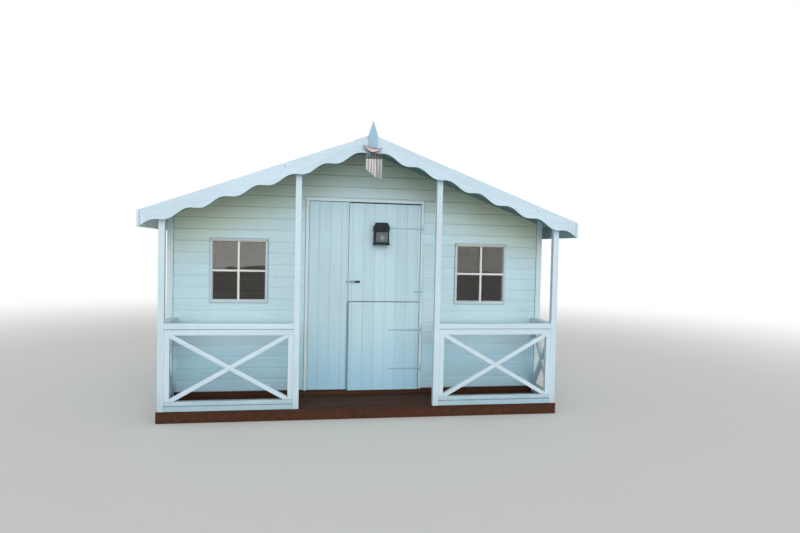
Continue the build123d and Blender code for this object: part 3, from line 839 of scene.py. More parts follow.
class SUMMERHOUSE_OT_carried_parts(bpy.types.Operator):
    """Gives every CAD node its finish and its softened edges"""
    bl_idname = "summerhouse.carried_parts"
    bl_label = "Finish the carried parts"

    def execute(self, context):
        keeper = painted_timber("keeper_paint", shade("wall_paint", 0.55), "X", rough=0.6, bump=0.3, streak=0.0)
        finial = painted_timber("finial_paint", "finial_paint", "Z", rough=0.45, streak=0.35)
        lantern = metal("lantern_metal", (0.014, 0.024, 0.032), 0.0, 0.5, 0.2, 0.15)
        # Finish, width of the rounded edges, and nodes
        groups = (
            (base_finish("Y"), 0.003, "ground_bearers"), (base_finish("X"), 0.002, "floor_joists"),
            (base_finish("Y"), 0.0, "cabin_floor"), (base_finish("X"), 0.0, "veranda_deck"),
            (joint_finish(), 0.0, "front_wall_left", "front_wall_right", "front_gable"),
            (wall_finish("boards"), 0.0, "rear_wall"), (side_finish(), 0.0, "side_walls"),
            (frame_finish("Z"), 0.002, "corner_trims"), (frame_finish("Z"), 0.0015, "door_frame_posts"),
            (frame_finish("X"), 0.0015, "door_frame_head"), (keeper, 0.0005, "bolt_keeper"),
            (door_finish("side_panel"), 0.001, "side_panel"), (door_finish("upper_door"), 0.001, "upper_door"),
            (door_finish("lower_door"), 0.001, "lower_door"),
            (iron_finish(), 0.0005, "hinge_plates", "upper_hinge_straps", "lower_hinge_straps"),
            (worn_bolt("worn_bolt"), 0.0005, "slide_bolt"),
            (window_finish(), 0.0015, "window_frames"), (window_glass("window_glass"), 0.0, "window_panes"),
            (bare_finish("Y"), 0.0, "roof_left", "roof_right"), (roof_finish("Y"), 0.002, "ridge_beam"),
            (roof_finish("X"), 0.002, "front_rafters"), (fascia_finish(), 0.002, "eave_fascias"),
            (bargeboard_finish(), 0.0025, "front_bargeboard_left", "front_bargeboard_right"),
            (bargeboard_finish(), 0.002, "rear_bargeboards"), (finial, 0.002, "finial"),
            (bowl_rim_finish(), 0.001, "chime_bowl"), (cane_finish(), 0.0, "chime_tubes"),
            (trim_finish("Z"), 0.003, "veranda_posts"), (trim_finish("Z"), 0.002, "balustrade_stiles"),
            (rail_finish("top_rails"), 0.003, "top_rails"), (rail_finish("bottom_rails"), 0.003, "bottom_rails"),
            (trim_finish("X", SIDE_RAILS), 0.002, "rising_braces", "falling_braces"),
            (bare_finish("X"), 0.002, "upper_door_ledges", "lower_door_ledges"),
            (lantern, 0.0015, "lantern_body"), (frosted_glass("frosted_glass"), 0.0, "lantern_pane"),
        )
        finished = {name for _, _, *names in groups for name in names}
        if finished != set(NODES):
            raise RuntimeError(f"finishes and nodes differ: {sorted(finished ^ set(NODES))}")
        for material, width, *names in groups:
            for name in names:
                self.dress(NODES[name], material, width)
        return {"FINISHED"}

    @staticmethod
    def dress(node, material, width):
        if not node.material_slots:
            node.data.materials.append(material)
        for slot in node.material_slots:
            slot.material = material
        if width:
            node.modifiers.new("joined", "WELD").merge_threshold = 0.00005
            soften(node, width)


def shiplap(cover, proud):
    """Section of a wall board: square lower edge, flat face and a hollow worn into its top edge."""
    hollow = ((0.0135, 0.90), (0.0105, 0.70), (0.008, 0.46), (0.006, 0.26), (0.003, 0.14), (0.0, 0.12))
    return [(0.0, 0.0), (0.0, proud - 0.001), (0.001, proud), (cover - 0.017, proud),
            *((cover - below, proud * share) for below, share in hollow), (cover, 0.0)]


def matchboard(cover, proud, edge=0.0025):
    """Section of an inside board with a chamfer at each edge."""
    return [(0.0, 0.0), (0.0, proud - edge), (edge, proud), (cover - edge, proud), (cover, proud - edge), (cover, 0.0)]


def hole(low, high, gap=0.0):
    """Left, right, bottom and top of an opening with a gap round it."""
    return low.x - gap, high.x + gap, low.z - gap, high.z + gap


def mirrored(opening):
    left, right, bottom, top = opening
    return -right, -left, bottom, top


ROOF_CUTS = [(Vector((0, 0, roof_under(0))), Vector((side * FALL, 0, 1)).normalized()) for side in (1, -1)]
HAIR = 1e-6                   # spans shorter than this count as nothing
SLIVER = 0.001                # a board's remnant lower than this isn't made


def clad(place, u0, u1, top, first, section, holes=()):
    """Rows of boards between two ends, cut round the holes and under the roof. place(u, z, out) gives a point."""
    bm = bmesh.new()
    cover = settings("boards").cover
    row = 0
    while first + row * cover < top:
        low = first + row * cover
        high = low + cover
        row += 1
        near = [h for h in holes if h[2] < high - HAIR and h[3] > low + HAIR]
        ends = sorted({u0, u1} | {e for h in near for e in h[:2] if u0 < e < u1})
        for a, b in zip(ends, ends[1:]):
            spans = [(low, high)]
            for left, right, bottom, above in near:
                if left <= a + HAIR and right >= b - HAIR:
                    spans = [s for z0, z1 in spans for s in ((z0, min(z1, bottom)), (max(z0, above), z1))
                             if s[1] - s[0] > SLIVER]
            for z0, z1 in spans:
                part = bmesh.new()
                slab(part, section, lambda s, out, u: place(u, low + s, out), a, b)
                if z0 > low + HAIR:
                    trim(part, (0, 0, z0), (0, 0, -1))
                if z1 < high - HAIR:
                    trim(part, (0, 0, z1), (0, 0, 1))
                for point, normal in ROOF_CUTS:
                    trim(part, point, normal)
                merge(bm, part)
    return bm


class SUMMERHOUSE_OT_cladding(bpy.types.Operator):
    """Boards the outside of the four walls in shiplap"""
    bl_idname = "summerhouse.cladding"
    bl_label = "Clad the walls"

    def execute(self, context):
        sizes = settings("boards")
        section, first, gap = shiplap(sizes.cover, sizes.proud), sizes.first_edge, sizes.joint
        window = hole(WINDOW_LOW, WINDOW_HIGH, gap)
        doorway = (HEAD_LOW.x - gap, HEAD_HIGH.x + gap, 0.0, HEAD_HIGH.z + gap / 2)
        edge = TRIM_IN - gap / 2
        front = clad(lambda u, z, out: (u, WALL_FRONT - out, z), -edge, edge, RIDGE, first, section,
                     [window, mirrored(window), doorway])
        piece(front, "front_cladding", "wall_paint", front_finish())
        rear = clad(lambda u, z, out: (u, WALL_BACK + out, z), -TRIM_IN, TRIM_IN, RIDGE, first, section)
        piece(rear, "rear_cladding", "wall_paint", wall_finish("boards"))
        sides = bmesh.new()
        for sign in (-1, 1):
            merge(sides, clad(lambda u, z, out: (sign * (HALF_SPAN + out), u, z), SIDE_START, SIDE_END,
                              roof_top(HALF_SPAN), first, section))
        piece(sides, "side_cladding", "wall_paint", side_finish())
        return {"FINISHED"}


class SUMMERHOUSE_OT_lining(bpy.types.Operator):
    """Lines the inside of the walls with matchboard"""
    bl_idname = "summerhouse.lining"
    bl_label = "Line the inside"

    def execute(self, context):
        cover, thick = settings("boards").cover, 0.004
        section = matchboard(cover, thick)
        window = hole(*part_box("window_frames", lambda p: p.x > 0 and p.y > INNER_FRONT - TOUCH))
        wall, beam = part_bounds("front_gable"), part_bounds("ridge_beam")
        doorway = (wall[0].x, wall[1].x, 0.0, wall[0].z)
        beam = (beam[0].x, beam[1].x, beam[0].z, RIDGE)
        ends = clad(lambda u, z, out: (u, INNER_FRONT + out, z), -INNER_SIDE, INNER_SIDE, RIDGE, FLOOR_TOP, section,
                    [window, mirrored(window), doorway, beam])
        merge(ends, clad(lambda u, z, out: (u, INNER_BACK - out, z), -INNER_SIDE, INNER_SIDE, RIDGE, FLOOR_TOP, section,
                         [beam]))
        sides = bmesh.new()
        for sign in (-1, 1):
            merge(sides, clad(lambda u, z, out: (sign * (INNER_SIDE - out), u, z), INNER_FRONT + thick,
                              INNER_BACK - thick, roof_top(INNER_SIDE), FLOOR_TOP, section))
        for name, bm, along in (("end_lining", ends, "X"), ("side_lining", sides, "Y")):
            piece(bm, name, "bare_timber", bare_finish(along, (UP, FLOOR_TOP, cover), "_lining"))
        return {"FINISHED"}


class SUMMERHOUSE_OT_battens(bpy.types.Operator):
    """Adds the battens that cover the tops of the wall boards under the roof"""
    bl_idname = "summerhouse.battens"
    bl_label = "Head battens"

    def execute(self, context):
        high = settings("boards").batten
        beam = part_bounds("ridge_beam")[1].x
        outline = [(beam, roof_under(beam)), (TRIM_IN, roof_under(TRIM_IN)), (TRIM_IN, roof_under(TRIM_IN) - high),
                   (beam, roof_under(beam) - high)]
        bm = bmesh.new()
        for y0, y1 in ((TRIM_FRONT, WALL_FRONT), (WALL_BACK, WALL_BACK + WALL_FRONT - TRIM_FRONT)):
            for sign in (-1, 1):
                slab(bm, outline, lambda x, z, y: (sign * x, y, z), y0, y1)
        # The battens are painted darker still, as a painted shadow line along the wall's top.
        finish = painted_timber("batten_paint", shade("roof_paint", 0.62), "X", **UNDER_ROOF)
        piece(bm, "gable_battens", "trim_paint", finish, bevel=0.0015)
        return {"FINISHED"}


class SUMMERHOUSE_OT_door_boards(bpy.types.Operator):
    """Makes both leaves and the fixed panel from boards with a V at each joint"""
    bl_idname = "summerhouse.door_boards"
    bl_label = "Door boards"

    def execute(self, context):
        for leaf in ("upper", "lower"):
            low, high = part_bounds(leaf + "_door")
            self.boards(leaf + "_door", leaf + "_leaf", low, high, low.y, high.x)
        low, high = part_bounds("side_panel")
        strip = part_box("side_panel", lambda p: p.y < low.y + TOUCH)[0].x
        face = min(p.y for p in points_of("side_panel") if p.y > low.y + 0.001)
        self.boards("side_panel", "house", low, high, face, strip,
                    [(strip, face), (strip, low.y), (high.x, low.y), (high.x, face)])
        return {"FINISHED"}

    @staticmethod
    def boards(node, body, low, high, face, last, cover_strip=None):
        """Boards from side to side, with joints up to the last place and a strip over the edge if asked."""
        sizes = settings("boards")
        lines = lines_between(sizes.door_first, sizes.door_pitch, low.x, last)
        bm = bmesh.new()
        slab(bm, grooved(low.x, high.x, face, high.y, lines, 0.006, sizes.groove, both=True), upright, low.z, high.z)
        if cover_strip:
            slab(bm, cover_strip, upright, low.z, high.z)
        piece(bm, node + "_boards", "wall_paint", door_finish(node), body=body, replaces=[node], bevel=0.0008)


class SUMMERHOUSE_OT_glazing(bpy.types.Operator):
    """Adds the glazing bars and beads of both windows"""
    bl_idname = "summerhouse.glazing"
    bl_label = "Glazing bars"

    def execute(self, context):
        sizes = settings("glazing")
        bars, beads = bmesh.new(), bmesh.new()
        face = TRIM_FRONT + 0.006
        for sign in (-1, 1):
            x0, x1 = sorted((sign * GLASS_LOW.x, sign * GLASS_HIGH.x))
            # Front and rear section of each bar, place of a point, and ends
            both = ((self.front(sizes.upright_wide / 2, face, 0.55), self.rear(sizes.upright_wide / 2),
                     lambda a, y, z: (sign * sizes.upright_place + a, y, z), GLASS_LOW.z, GLASS_HIGH.z),
                    (self.front(sizes.cross_high / 2, face + 0.001, 0.5), self.rear(sizes.cross_high / 2),
                     lambda a, y, x: (x, y, sizes.cross_place + a), x0, x1))
            for layer in (0, 1):
                for bar in both:
                    slab(bars, bar[layer], *bar[2:])
            self.bead_round(beads, x0, x1, GLASS_LOW.z, GLASS_HIGH.z, GLASS_LOW.y, sizes.bead)
        paint = painted_timber("glazing_paint", "glazing_paint", "Z", reach=0.3, rough=0.4, bump=0.2, streak=0.04)
        worn = painted_timber("worn_bead", "worn_wood", "X", reach=0.3, rough=0.6)
        piece(bars, "glazing_bars", "trim_paint", paint, bevel=0.0008)
        piece(beads, "glazing_beads", "trim_paint", window_finish(), worn)
        return {"FINISHED"}

    @staticmethod
    def front(half, face, share, slope=0.006):
        """Section of a bar before the glass: its edges slope, and a share of its face is flat."""
        glass, flat = GLASS_LOW.y, half * share
        return [(-half, glass), (-half, face + slope), (-flat, face), (flat, face), (half, face + slope), (half, glass)]

    @staticmethod
    def rear(half, deep=0.012):
        """Section of a bar behind the glass."""
        glass = GLASS_HIGH.y
        return [(-half, glass), (half, glass), (half * 0.7, glass + deep), (-half * 0.7, glass + deep)]

    @staticmethod
    def bead_round(bm, x0, x1, z0, z1, y, side):
        """Four mitred beads inside the frame, on the face of the glass; the top one is worn."""
        rings = []
        for inset, depth in ((0.0, 0.0), (side, 0.0), (side * 0.75, side * 0.75), (0.0, side)):
            corners = ((x0 + inset, z0 + inset), (x1 - inset, z0 + inset), (x1 - inset, z1 - inset),
                       (x0 + inset, z1 - inset))
            rings.append([bm.verts.new((x, y - depth, z)) for x, z in corners])
        for i in range(4):
            a, b = rings[i], rings[(i + 1) % 4]
            for k in range(4):
                m = (k + 1) % 4
                bm.faces.new((a[k], a[m], b[m], b[k])).material_index = 1 if k == 2 else 0


class SUMMERHOUSE_OT_floors(bpy.types.Operator):
    """Lays the veranda deck and the cabin floor in boards"""
    bl_idname = "summerhouse.floors"
    bl_label = "Floors"

    def execute(self, context):
        sizes = settings("boards")
        low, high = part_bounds("veranda_deck")
        count, gap, edge = sizes.deck_boards, 0.004, 0.003
        pitch = (high.y - low.y) / count
        deck = bmesh.new()
        for k in range(count):
            y0 = low.y + k * pitch + (gap / 2 if k else 0.0)
            y1 = low.y + (k + 1) * pitch - (gap / 2 if k < count - 1 else 0.0)
            outline = [(y0, low.z), (y1, low.z), (y1, high.z - edge), (y1 - edge, high.z), (y0 + edge, high.z),
                       (y0, high.z - edge)]
            slab(deck, outline, lambda y, z, x: (x, y, z), low.x, high.x)
        piece(deck, "veranda_deck_boards", "stained_timber", base_finish("X", mud=0.6), replaces=["veranda_deck"])
        low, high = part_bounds("cabin_floor")
        lines = lines_between(low.x, sizes.floor_pitch, low.x, high.x)
        floor = bmesh.new()
        slab(floor, grooved(low.x, high.x, high.z, low.z, lines, 0.003, 0.002), endwise, low.y, high.y)
        worn = bare_finish("Y", (RIGHT, low.x, sizes.floor_pitch), "_floor")
        made = piece(floor, "cabin_floor_boards", "stained_timber", base_finish("Y"), worn, replaces=["cabin_floor"])
        for face in made.data.polygons:
            if face.normal.z > 0.2 and len(face.vertices) == 4:
                face.material_index = 1
        return {"FINISHED"}


class SUMMERHOUSE_OT_roof_boards(bpy.types.Operator):
    """Boards both slopes of the roof, with a V at each joint below"""
    bl_idname = "summerhouse.roof_boards"
    bl_label = "Roof boards"

    def execute(self, context):
        pitch = settings("boards").roof_pitch * math.cos(math.atan(FALL))
        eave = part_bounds("roof_right")[1].x
        outline = grooved(0.0, eave, ROOF_THICK, 0.0, lines_between(0.0, pitch, 0.0, eave), 0.007, 0.003)
        for side, sign in (("right", 1), ("left", -1)):
            bm = bmesh.new()
            slab(bm, outline, lambda x, h, y: (sign * x, y, roof_top(x) - h), ROOF_FRONT, ROOF_BACK)
            # The roof boards' undersides take the dark roof paint, which carries painted shade.
            finish = painted_timber("roof_paint_" + side, "roof_paint", "Y", ((sign, 0, 0), 0.0, pitch), **UNDER_ROOF)
            piece(bm, f"roof_{side}_boards", "roof_covering", finish, replaces=["roof_" + side])
        return {"FINISHED"}


class SUMMERHOUSE_OT_felt(bpy.types.Operator):
    """Lays the roofing felt in lapped strips and nails it down"""
    bl_idname = "summerhouse.felt"
    bl_label = "Roofing felt"

    # Ripples of the felt: waves per metre across and along, place in the noise, and height
    RIPPLES = ((2.1, 1.4, 3.7, 0.0011), (7.0, 5.0, 1.3, 0.0004))
    STATIONS = 44                 # steps along the roof
    STEPS = 14                    # steps down a strip

    def execute(self, context):
        sizes = settings("roofing")
        felt, cap, nails = bmesh.new(), bmesh.new(), bmesh.new()
        thick, reach = sizes.thickness, sizes.ridge_strip
        split = EAVE_OUT - sizes.lower_strip
        lapped = split + sizes.lap
        for sign in (-1, 1):
            self.strip(felt, sign, split, EAVE_OUT - 0.0005, thick + 0.0002)
            self.strip(felt, sign, 0.02, lapped, 2 * thick + 0.0005, drop=thick * 0.2)
            for y in (ROOF_FRONT + 0.022, ROOF_BACK - 0.022):
                for x in lines_between(0.20, sizes.nail_pitch, 0.2, EAVE_OUT - 0.03):
                    self.nail(nails, sign, x, y, (2 if x < lapped else 1) * thick + 0.0004)
            for x, layers in ((lapped - 0.025, 2), (EAVE_OUT - 0.018, 1), (reach - 0.025, 3)):
                for y in lines_between(ROOF_FRONT + 0.05, sizes.nail_pitch, ROOF_FRONT, ROOF_BACK - 0.03):
                    self.nail(nails, sign, x, y, layers * thick + 0.0006)
        half = [reach, reach * 0.75, reach * 0.5, reach * 0.25, 0.012]
        lift = 3 * thick + 0.0008
        self.skin(cap, [self.row(cap, x, lift, 0.0 if x else 0.0015) for x in [-x for x in half] + [0.0] + half[::-1]])
        for name, bm in (("roof_felt", felt), ("ridge_felt", cap)):
            made = piece(bm, name, "roof_covering", mineral_felt("mineral_felt"), solid=False)
            shell = made.modifiers.new("thickness", "SOLIDIFY")
            shell.thickness = thick
            shell.offset = -1.0
        piece(nails, "felt_nails", "zinc_plated_steel", metal("clout_nails", (0.34, 0.35, 0.36), 0.9, 0.5, 0.45))
        return {"FINISHED"}

    def height(self, x, y, lift):
        """Height of the felt, which ripples a little between its ends."""
        wave = sum(noise.noise(Vector((x * across, y * along, spot))) * high
                   for across, along, spot, high in self.RIPPLES)
        ends = min(1.0, (y - ROOF_FRONT) / 0.3, (ROOF_BACK - y) / 0.3)
        return roof_top(x) + lift * math.sqrt(1 + FALL * FALL) + max(0.0, wave + 0.0006) * ends

    def row(self, bm, x, lift, drop=0.0, sign=1):
        """Points along the roof, from behind one bargeboard to behind the other."""
        places = [ROOF_FRONT + (ROOF_BACK - ROOF_FRONT) * j / self.STATIONS for j in range(self.STATIONS + 1)]
        return [bm.verts.new((sign * x, y, self.height(x, y, lift) - drop)) for y in places]

    def strip(self, bm, sign, x0, x1, lift, drop=0.0):
        """A strip down one slope, pressed down by the drop at its lower edge."""
        steps = range(self.STEPS + 1)
        lifts = [lift - (drop if i == self.STEPS else 0.0) for i in steps]
        rows = [self.row(bm, x0 + (x1 - x0) * i / self.STEPS, lifts[i], sign=sign) for i in steps]
        self.skin(bm, rows, sign > 0)

    @staticmethod
    def skin(bm, rows, upright=True):
        for left, right in zip(rows, rows[1:]):
            for j in range(len(left) - 1):
                quad = (left[j], right[j], right[j + 1], left[j + 1])
                bm.faces.new(quad if upright else quad[::-1]).smooth = True

    def nail(self, bm, sign, x, y, lift):
        stud(bm, (sign * x, y, self.height(x, y, lift)), Vector((sign * FALL, 0, 1)).normalized(), CLOUT)


class SUMMERHOUSE_OT_fixings(bpy.types.Operator):
    """Sets the nails in the boards and the screws in the hinges"""
    bl_idname = "summerhouse.fixings"
    bl_label = "Nails and screws"

    NAIL_HEIGHTS = (0.022, 0.074)                 # above a board's lower edge
    FRONT_STUDS = (0.64, 0.89, 1.475, 1.758)      # places across, on both sides of the middle
    GABLE_STUDS = (0.0, 0.32)                     # over the door
    REAR_STUDS = (-1.758, -1.20, -0.60, 0.0, 0.60, 1.20, 1.758)
    SIDE_STUDS = 5
    BARGE_BOLTS = ((-0.756, 2.230), (1.552, 1.916))

    def execute(self, context):
        painted = painted_timber("painted_nails", shade("wall_paint", 0.8), "X", bump=0.15)
        nails, dark = bmesh.new(), bmesh.new()
        self.wall_nails(nails)
        piece(nails, "cladding_nails", "wall_paint", painted)
        for body, bm in self.hinge_screws().items():
            piece(bm, "hinge_screws_" + body, "painted_iron", painted, body=body)
        for x, z in self.BARGE_BOLTS:
            stud(dark, (x, BOARD_FRONT, z), FORWARD, BOLT)
        for sign in (-1, 1):
            for x in (WINDOW_LOW.x + 0.009, WINDOW_HIGH.x - 0.009):
                stud(dark, (sign * x, TRIM_FRONT, WINDOW_HIGH.z - 0.009), FORWARD, PIN)
        piece(dark, "rusted_heads", "zinc_plated_steel", metal("rusted_heads", (0.10, 0.10, 0.10), 0.3, 0.6, 0.8))
        return {"FINISHED"}

    @staticmethod
    def hinge_screws():
        """Screws along each strap and at both ends of its jamb plate, by body."""
        groups = {"house": bmesh.new(), "upper_leaf": bmesh.new(), "lower_leaf": bmesh.new()}
        plates = points_of("hinge_plates")
        right = max(p.x for p in plates)
        face = min(p.y for p in plates if p.x > right - TOUCH)
        for leaf in ("upper", "lower"):
            for strap in straps(leaf + "_hinge_straps"):
                z = (min(p.z for p in strap) + max(p.z for p in strap)) / 2
                left, barrel = min(p.x for p in strap), max(p.x for p in strap)
                count = 4 if barrel - left > 0.2 else 2
                for k in range(count):
                    x = left + 0.016 + (barrel - 0.045 - left) * k / (count - 1)
                    stud(groups[leaf + "_leaf"], (x, TRIM_FRONT - 0.003, z), FORWARD, SCREW)
                for off in (-0.036, 0.036):
                    stud(groups["house"], (right - 0.012, face, z + off), FORWARD, SCREW)
        return groups

    def wall_nails(self, bm):
        """Two nails through each board at each stud, none of them quite in line."""
        sizes = settings("boards")
        front, rear = WALL_FRONT - sizes.proud, WALL_BACK + sizes.proud
        for row in range(math.ceil((RIDGE - sizes.first_edge) / sizes.cover)):
            for above in self.NAIL_HEIGHTS:
                z = sizes.first_edge + row * sizes.cover + above
                jog = 0.003 * math.sin(row * 5.1 + above * 90)
                for x in self.FRONT_STUDS + (self.GABLE_STUDS if z > HEAD_HIGH.z + 0.01 else ()):
                    for sign in (-1, 1):
                        clear = 0.02 if sign < 0 and x == self.FRONT_STUDS[0] else 0.0
                        spot = sign * x + jog - clear
                        if roof_under(spot) - 0.06 > z:
                            stud(bm, (spot, front, z), FORWARD, NAIL)
                for x in self.REAR_STUDS:
                    if roof_under(x) - 0.06 > z:
                        stud(bm, (x + jog, rear, z), REARWARD, NAIL)
                if roof_under(HALF_SPAN) - 0.02 > z:
                    for k in range(self.SIDE_STUDS):
                        y = SIDE_START + 0.02 + (SIDE_END - SIDE_START - 0.04) * k / (self.SIDE_STUDS - 1)
                        for sign in (-1, 1):
                            stud(bm, (sign * (HALF_SPAN + sizes.proud), y + jog, z), (sign, 0, 0), NAIL)


class SUMMERHOUSE_OT_chime(bpy.types.Operator):
    """Makes the hanging ornament: a hollowed crescent and cane tubes on cords"""
    bl_idname = "summerhouse.chime"
    bl_label = "Chime"

    STEPS = 24                    # along the crescent
    # Rings of the carved face: depth into it, and inset as a share of the width
    RIM = ((0.0, 0.0), (0.0, 0.09), (0.006, 0.12))
    CORD = 0.0012                 # radius

    def execute(self, context):
        bm = bmesh.new()
        low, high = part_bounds("chime_bowl")
        centre, arcs = self.crescent()
        rim = []
        for depth, inset in self.RIM:
            lines = ([], [])
            for pair in zip(*arcs):
                between = (pair[0] + pair[1]) / 2
                for line, p in zip(lines, pair):
                    spot = between + (p - between) * (1.0 - inset * 2)
                    spot = centre + (spot - centre) * (1.0 - inset * 0.25)
                    line.append(bm.verts.new((spot.x, low.y + depth, spot.z)))
            rim.append(lines)
        back = [[bm.verts.new((centre.x + (p.x - centre.x) * 0.9, high.y, p.z)) for p in arc] for arc in arcs]
        for i in range(self.STEPS):
            for row in (0, 1):
                for a, b in ((rim[0], rim[1]), (rim[1], rim[2]), (rim[0], back)):
                    self.quad(bm, a[row], b[row], i)
            self.quad(bm, rim[2][0], rim[2][1], i).material_index = 1
            self.quad(bm, back[0], back[1], i)
        face = lacquer("bowl_face", (0.72, 0.60, 0.63), (0.58, 0.42, 0.45), 0.5)
        piece(bm, "chime_bowl_carved", "bowl_lacquer", bowl_rim_finish(), face, replaces=["chime_bowl"])
        self.tubes()
        return {"FINISHED"}

    @staticmethod
    def quad(bm, low, high, i):
        return bm.faces.new((low[i], low[i + 1], high[i + 1], high[i]))

    def crescent(self):
        """Middle of the crescent between its tips, and its lower and upper arcs."""
        points = points_of("chime_bowl")
        left, right = (pick(points, key=lambda p: p.x) for pick in (min, max))
        centre = Vector(((left.x + right.x) / 2, 0, (left.z + right.z) / 2))
        along = Vector((right.x - left.x, 0, right.z - left.z))
        half = along.length / 2
        along.normalize()
        rise = Vector((-along.z, 0, along.x))
        near = [(p - centre).dot(rise) for p in points if abs((p - centre).dot(along)) < 0.012]
        shares = [-1 + 2 * i / self.STEPS for i in range(self.STEPS + 1)]
        return centre, [[centre + along * (share * half) + rise * (depth * (1 - share ** 2)) for share in shares]
                        for depth in (min(near), max(near))]

    def tubes(self):
        """Turns each tube as a cane with a joint, on the cord that it hangs from."""
        points = sorted(points_of("chime_tubes"), key=lambda p: p.x)
        shelf = max(p.z for p in points if p.x < points[0].x + 0.001)
        cords = []
        for p in points:
            if p.z > shelf + 0.001:
                if not cords or p.x - cords[-1][-1].x > 0.005:
                    cords.append([])
                cords[-1].append(p)
        radius = (cords[0][0].x + cords[0][-1].x) / 2 - points[0].x
        canes = bmesh.new()
        for k, cord in enumerate(cords):
            x = (cord[0].x + cord[-1].x) / 2
            y = (min(p.y for p in cord) + max(p.y for p in cord)) / 2
            hook = max(p.z for p in cord)
            low = min(p.z for p in points if abs(p.x - x) < radius - 0.0005)
            joint = low + (shelf - low) * (0.35 + 0.3 * ((k * 0.37) % 1))
            profile = [(low + 0.016, 0.78), (low, 0.80), (low, 0.94), (low + 0.002, 1.0), (joint - 0.004, 0.97),
                       (joint - 0.001, 1.0), (joint, 0.93), (joint + 0.001, 1.0), (joint + 0.005, 0.96),
                       (shelf - 0.002, 0.97), (shelf, 0.90)]
            rings = [(z, radius * share) for z, share in profile] + [(shelf + 0.0005, self.CORD), (hook, self.CORD)]
            known = len(canes.faces)
            lathe(canes, [(Vector((x, y, z)), r) for z, r in rings])
            canes.faces.ensure_lookup_table()
            for face in canes.faces[known:]:
                face.smooth = True
                face.material_index = 1 if k >= len(cords) - 2 else 0
        green = bamboo("green_bamboo", (0.52, 0.56, 0.55), (0.33, 0.37, 0.35))
        piece(canes, "chime_canes", "pale_bamboo", cane_finish(), green, replaces=["chime_tubes"])


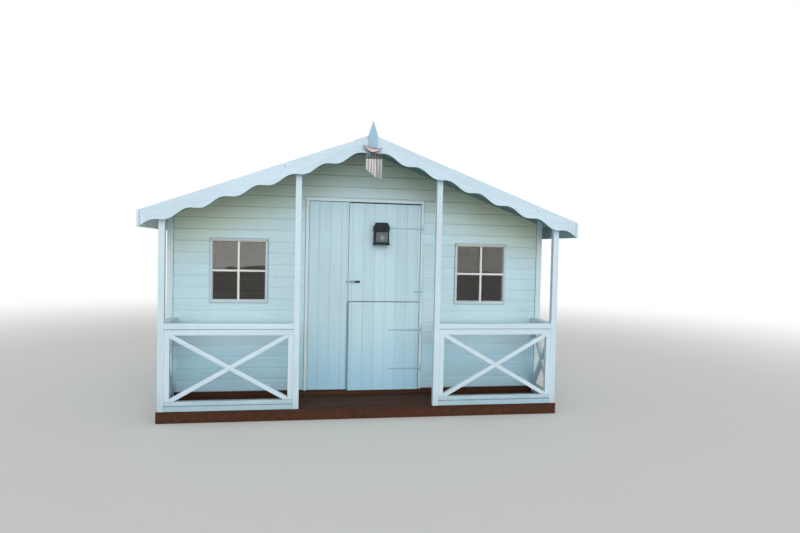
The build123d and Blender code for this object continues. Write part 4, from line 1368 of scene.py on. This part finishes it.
class SUMMERHOUSE_OT_stage(bpy.types.Operator):
    """Sets the floor, the lamps, the background and the camera"""
    bl_idname = "summerhouse.stage"
    bl_label = "Stage"

    def execute(self, context):
        stage = settings("stage")
        bm = bmesh.new()
        bmesh.ops.create_circle(bm, cap_ends=True, cap_tris=False, segments=96, radius=40.0)
        mesh = bpy.data.meshes.new("studio_floor")
        bm.to_mesh(mesh)
        bm.free()
        floor = stand("studio_floor", mesh)
        floor.location.z = -0.0006
        mesh.materials.append(self.floor_finish(stage))
        self.sky(context.scene, stage)
        self.lamps(stage)
        self.camera(context.scene, stage)
        return {"FINISHED"}

    @staticmethod
    def emptied(block):
        """The bare node tree of a material or world."""
        block.use_nodes = True
        block.node_tree.nodes.clear()
        return Nodes(block.node_tree)

    @staticmethod
    def seen(nodes):
        """1 for what is looked at, straight or through glass, and 0 for the light that falls on things."""
        rays = nodes.add("LightPath").outputs
        seen = nodes.calc("MAXIMUM", rays["Is Camera Ray"], rays["Is Glossy Ray"])
        return nodes.calc("MAXIMUM", seen, rays["Is Transmission Ray"])

    def floor_finish(self, stage):
        """Matt floor that fades into the white background far from the building."""
        material = bpy.data.materials.new("studio_floor")
        nodes = self.emptied(material)
        seen = self.seen(nodes)
        place = nodes.add("TexCoord").outputs["Object"]
        away = nodes.add("VectorMath", {0: place}, operation="LENGTH").outputs["Value"]
        matt = nodes.add("BsdfDiffuse", {"Color": nodes.blend(seen, shade(stage.ground, 0.75), stage.ground)})
        glow = nodes.add("Emission", {"Color": (1, 1, 1), "Strength": 1.0})
        share = nodes.times(nodes.spread(away, 4.0, 13.0), seen)
        mix = nodes.add("MixShader", {0: share, 1: matt.outputs[0], 2: glow.outputs[0]})
        nodes.add("OutputMaterial", {"Surface": mix.outputs[0]})
        return material

    def sky(self, scene, stage):
        """A world that lights softly and is seen as white."""
        scene.world = bpy.data.worlds.new("studio_sky")
        nodes = self.emptied(scene.world)
        dim = nodes.add("Background", {"Color": (0.97, 0.985, 1.0), "Strength": stage.sky})
        clear = nodes.add("Background", {"Color": (1, 1, 1), "Strength": 1.0})
        mix = nodes.add("MixShader", {0: self.seen(nodes), 1: dim.outputs[0], 2: clear.outputs[0]})
        nodes.add("OutputWorld", {"Surface": mix.outputs[0]})

    @staticmethod
    def lamps(stage):
        for name, energy, side, height in (("soft_sun", stage.sun, stage.sun_side, stage.sun_height),
                                           ("low_fill", stage.fill, stage.fill_side, stage.fill_height)):
            lamp = bpy.data.lights.new(name, "SUN")
            lamp.energy = energy
            lamp.angle = stage.sun_spread
            lamp.color = (1.0, 0.985, 0.95)
            towards = Vector((math.sin(side) * math.cos(height), -math.cos(side) * math.cos(height), math.sin(height)))
            stand(name, lamp).rotation_euler = towards.to_track_quat("Z", "Y").to_euler()

    @staticmethod
    def camera(scene, stage):
        """Camera at the photograph's place, turned by yaw, then pitch, then roll."""
        scene.view_settings.view_transform = "Standard"
        data = bpy.data.cameras.new("photo_view")
        data.lens = stage.lens
        data.sensor_width = 36.0
        scene.camera = stand("photo_view", data)
        level = math.cos(stage.pitch)
        ahead = Vector((math.sin(stage.yaw) * level, math.cos(stage.yaw) * level, math.sin(stage.pitch)))
        side = Vector((math.cos(stage.yaw), -math.sin(stage.yaw), 0))
        rise = side.cross(ahead)
        right = math.cos(stage.roll) * side + math.sin(stage.roll) * rise
        up = -math.sin(stage.roll) * side + math.cos(stage.roll) * rise
        turn = Matrix((right, up, -ahead)).transposed().to_4x4()
        scene.camera.matrix_world = Matrix.Translation(Vector(stage.eye)) @ turn


OPERATORS = (SUMMERHOUSE_OT_carried_parts, SUMMERHOUSE_OT_cladding, SUMMERHOUSE_OT_lining, SUMMERHOUSE_OT_battens,
             SUMMERHOUSE_OT_door_boards, SUMMERHOUSE_OT_glazing, SUMMERHOUSE_OT_floors, SUMMERHOUSE_OT_roof_boards,
             SUMMERHOUSE_OT_felt, SUMMERHOUSE_OT_fixings, SUMMERHOUSE_OT_chime, SUMMERHOUSE_OT_stage)
STEPS = [operator.bl_idname.split(".")[1] for operator in OPERATORS]
GROUPS = {"boards": BoardSizes, "glazing": GlazingSizes, "roofing": RoofingSizes, "colours": FinishColours,
          "stage": StageSettings}


class SUMMERHOUSE_PT_tools(bpy.types.Panel):
    """Lists the steps and the sizes of the summerhouse"""
    bl_label = "Summerhouse"
    bl_idname = "SUMMERHOUSE_PT_tools"
    bl_space_type = "VIEW_3D"
    bl_region_type = "UI"
    bl_category = "Summerhouse"

    def draw(self, context):
        column = self.layout.column(align=True)
        for step in STEPS:
            column.operator("summerhouse." + step)
        for group, cls in GROUPS.items():
            box = self.layout.box()
            box.label(text=group.title())
            for name in cls.__annotations__:
                box.prop(settings(group), name)


CLASSES = (*GROUPS.values(), *OPERATORS, SUMMERHOUSE_PT_tools)


def register():
    for cls in CLASSES:
        bpy.utils.register_class(cls)
    for name, cls in GROUPS.items():
        setattr(bpy.types.Scene, "summerhouse_" + name, PointerProperty(type=cls))


def unregister():
    for name in GROUPS:
        delattr(bpy.types.Scene, "summerhouse_" + name)
    for cls in reversed(CLASSES):
        bpy.utils.unregister_class(cls)


def main():
    register()
    for step in STEPS:
        getattr(bpy.ops.summerhouse, step)()


if __name__ == "__main__":
    main()
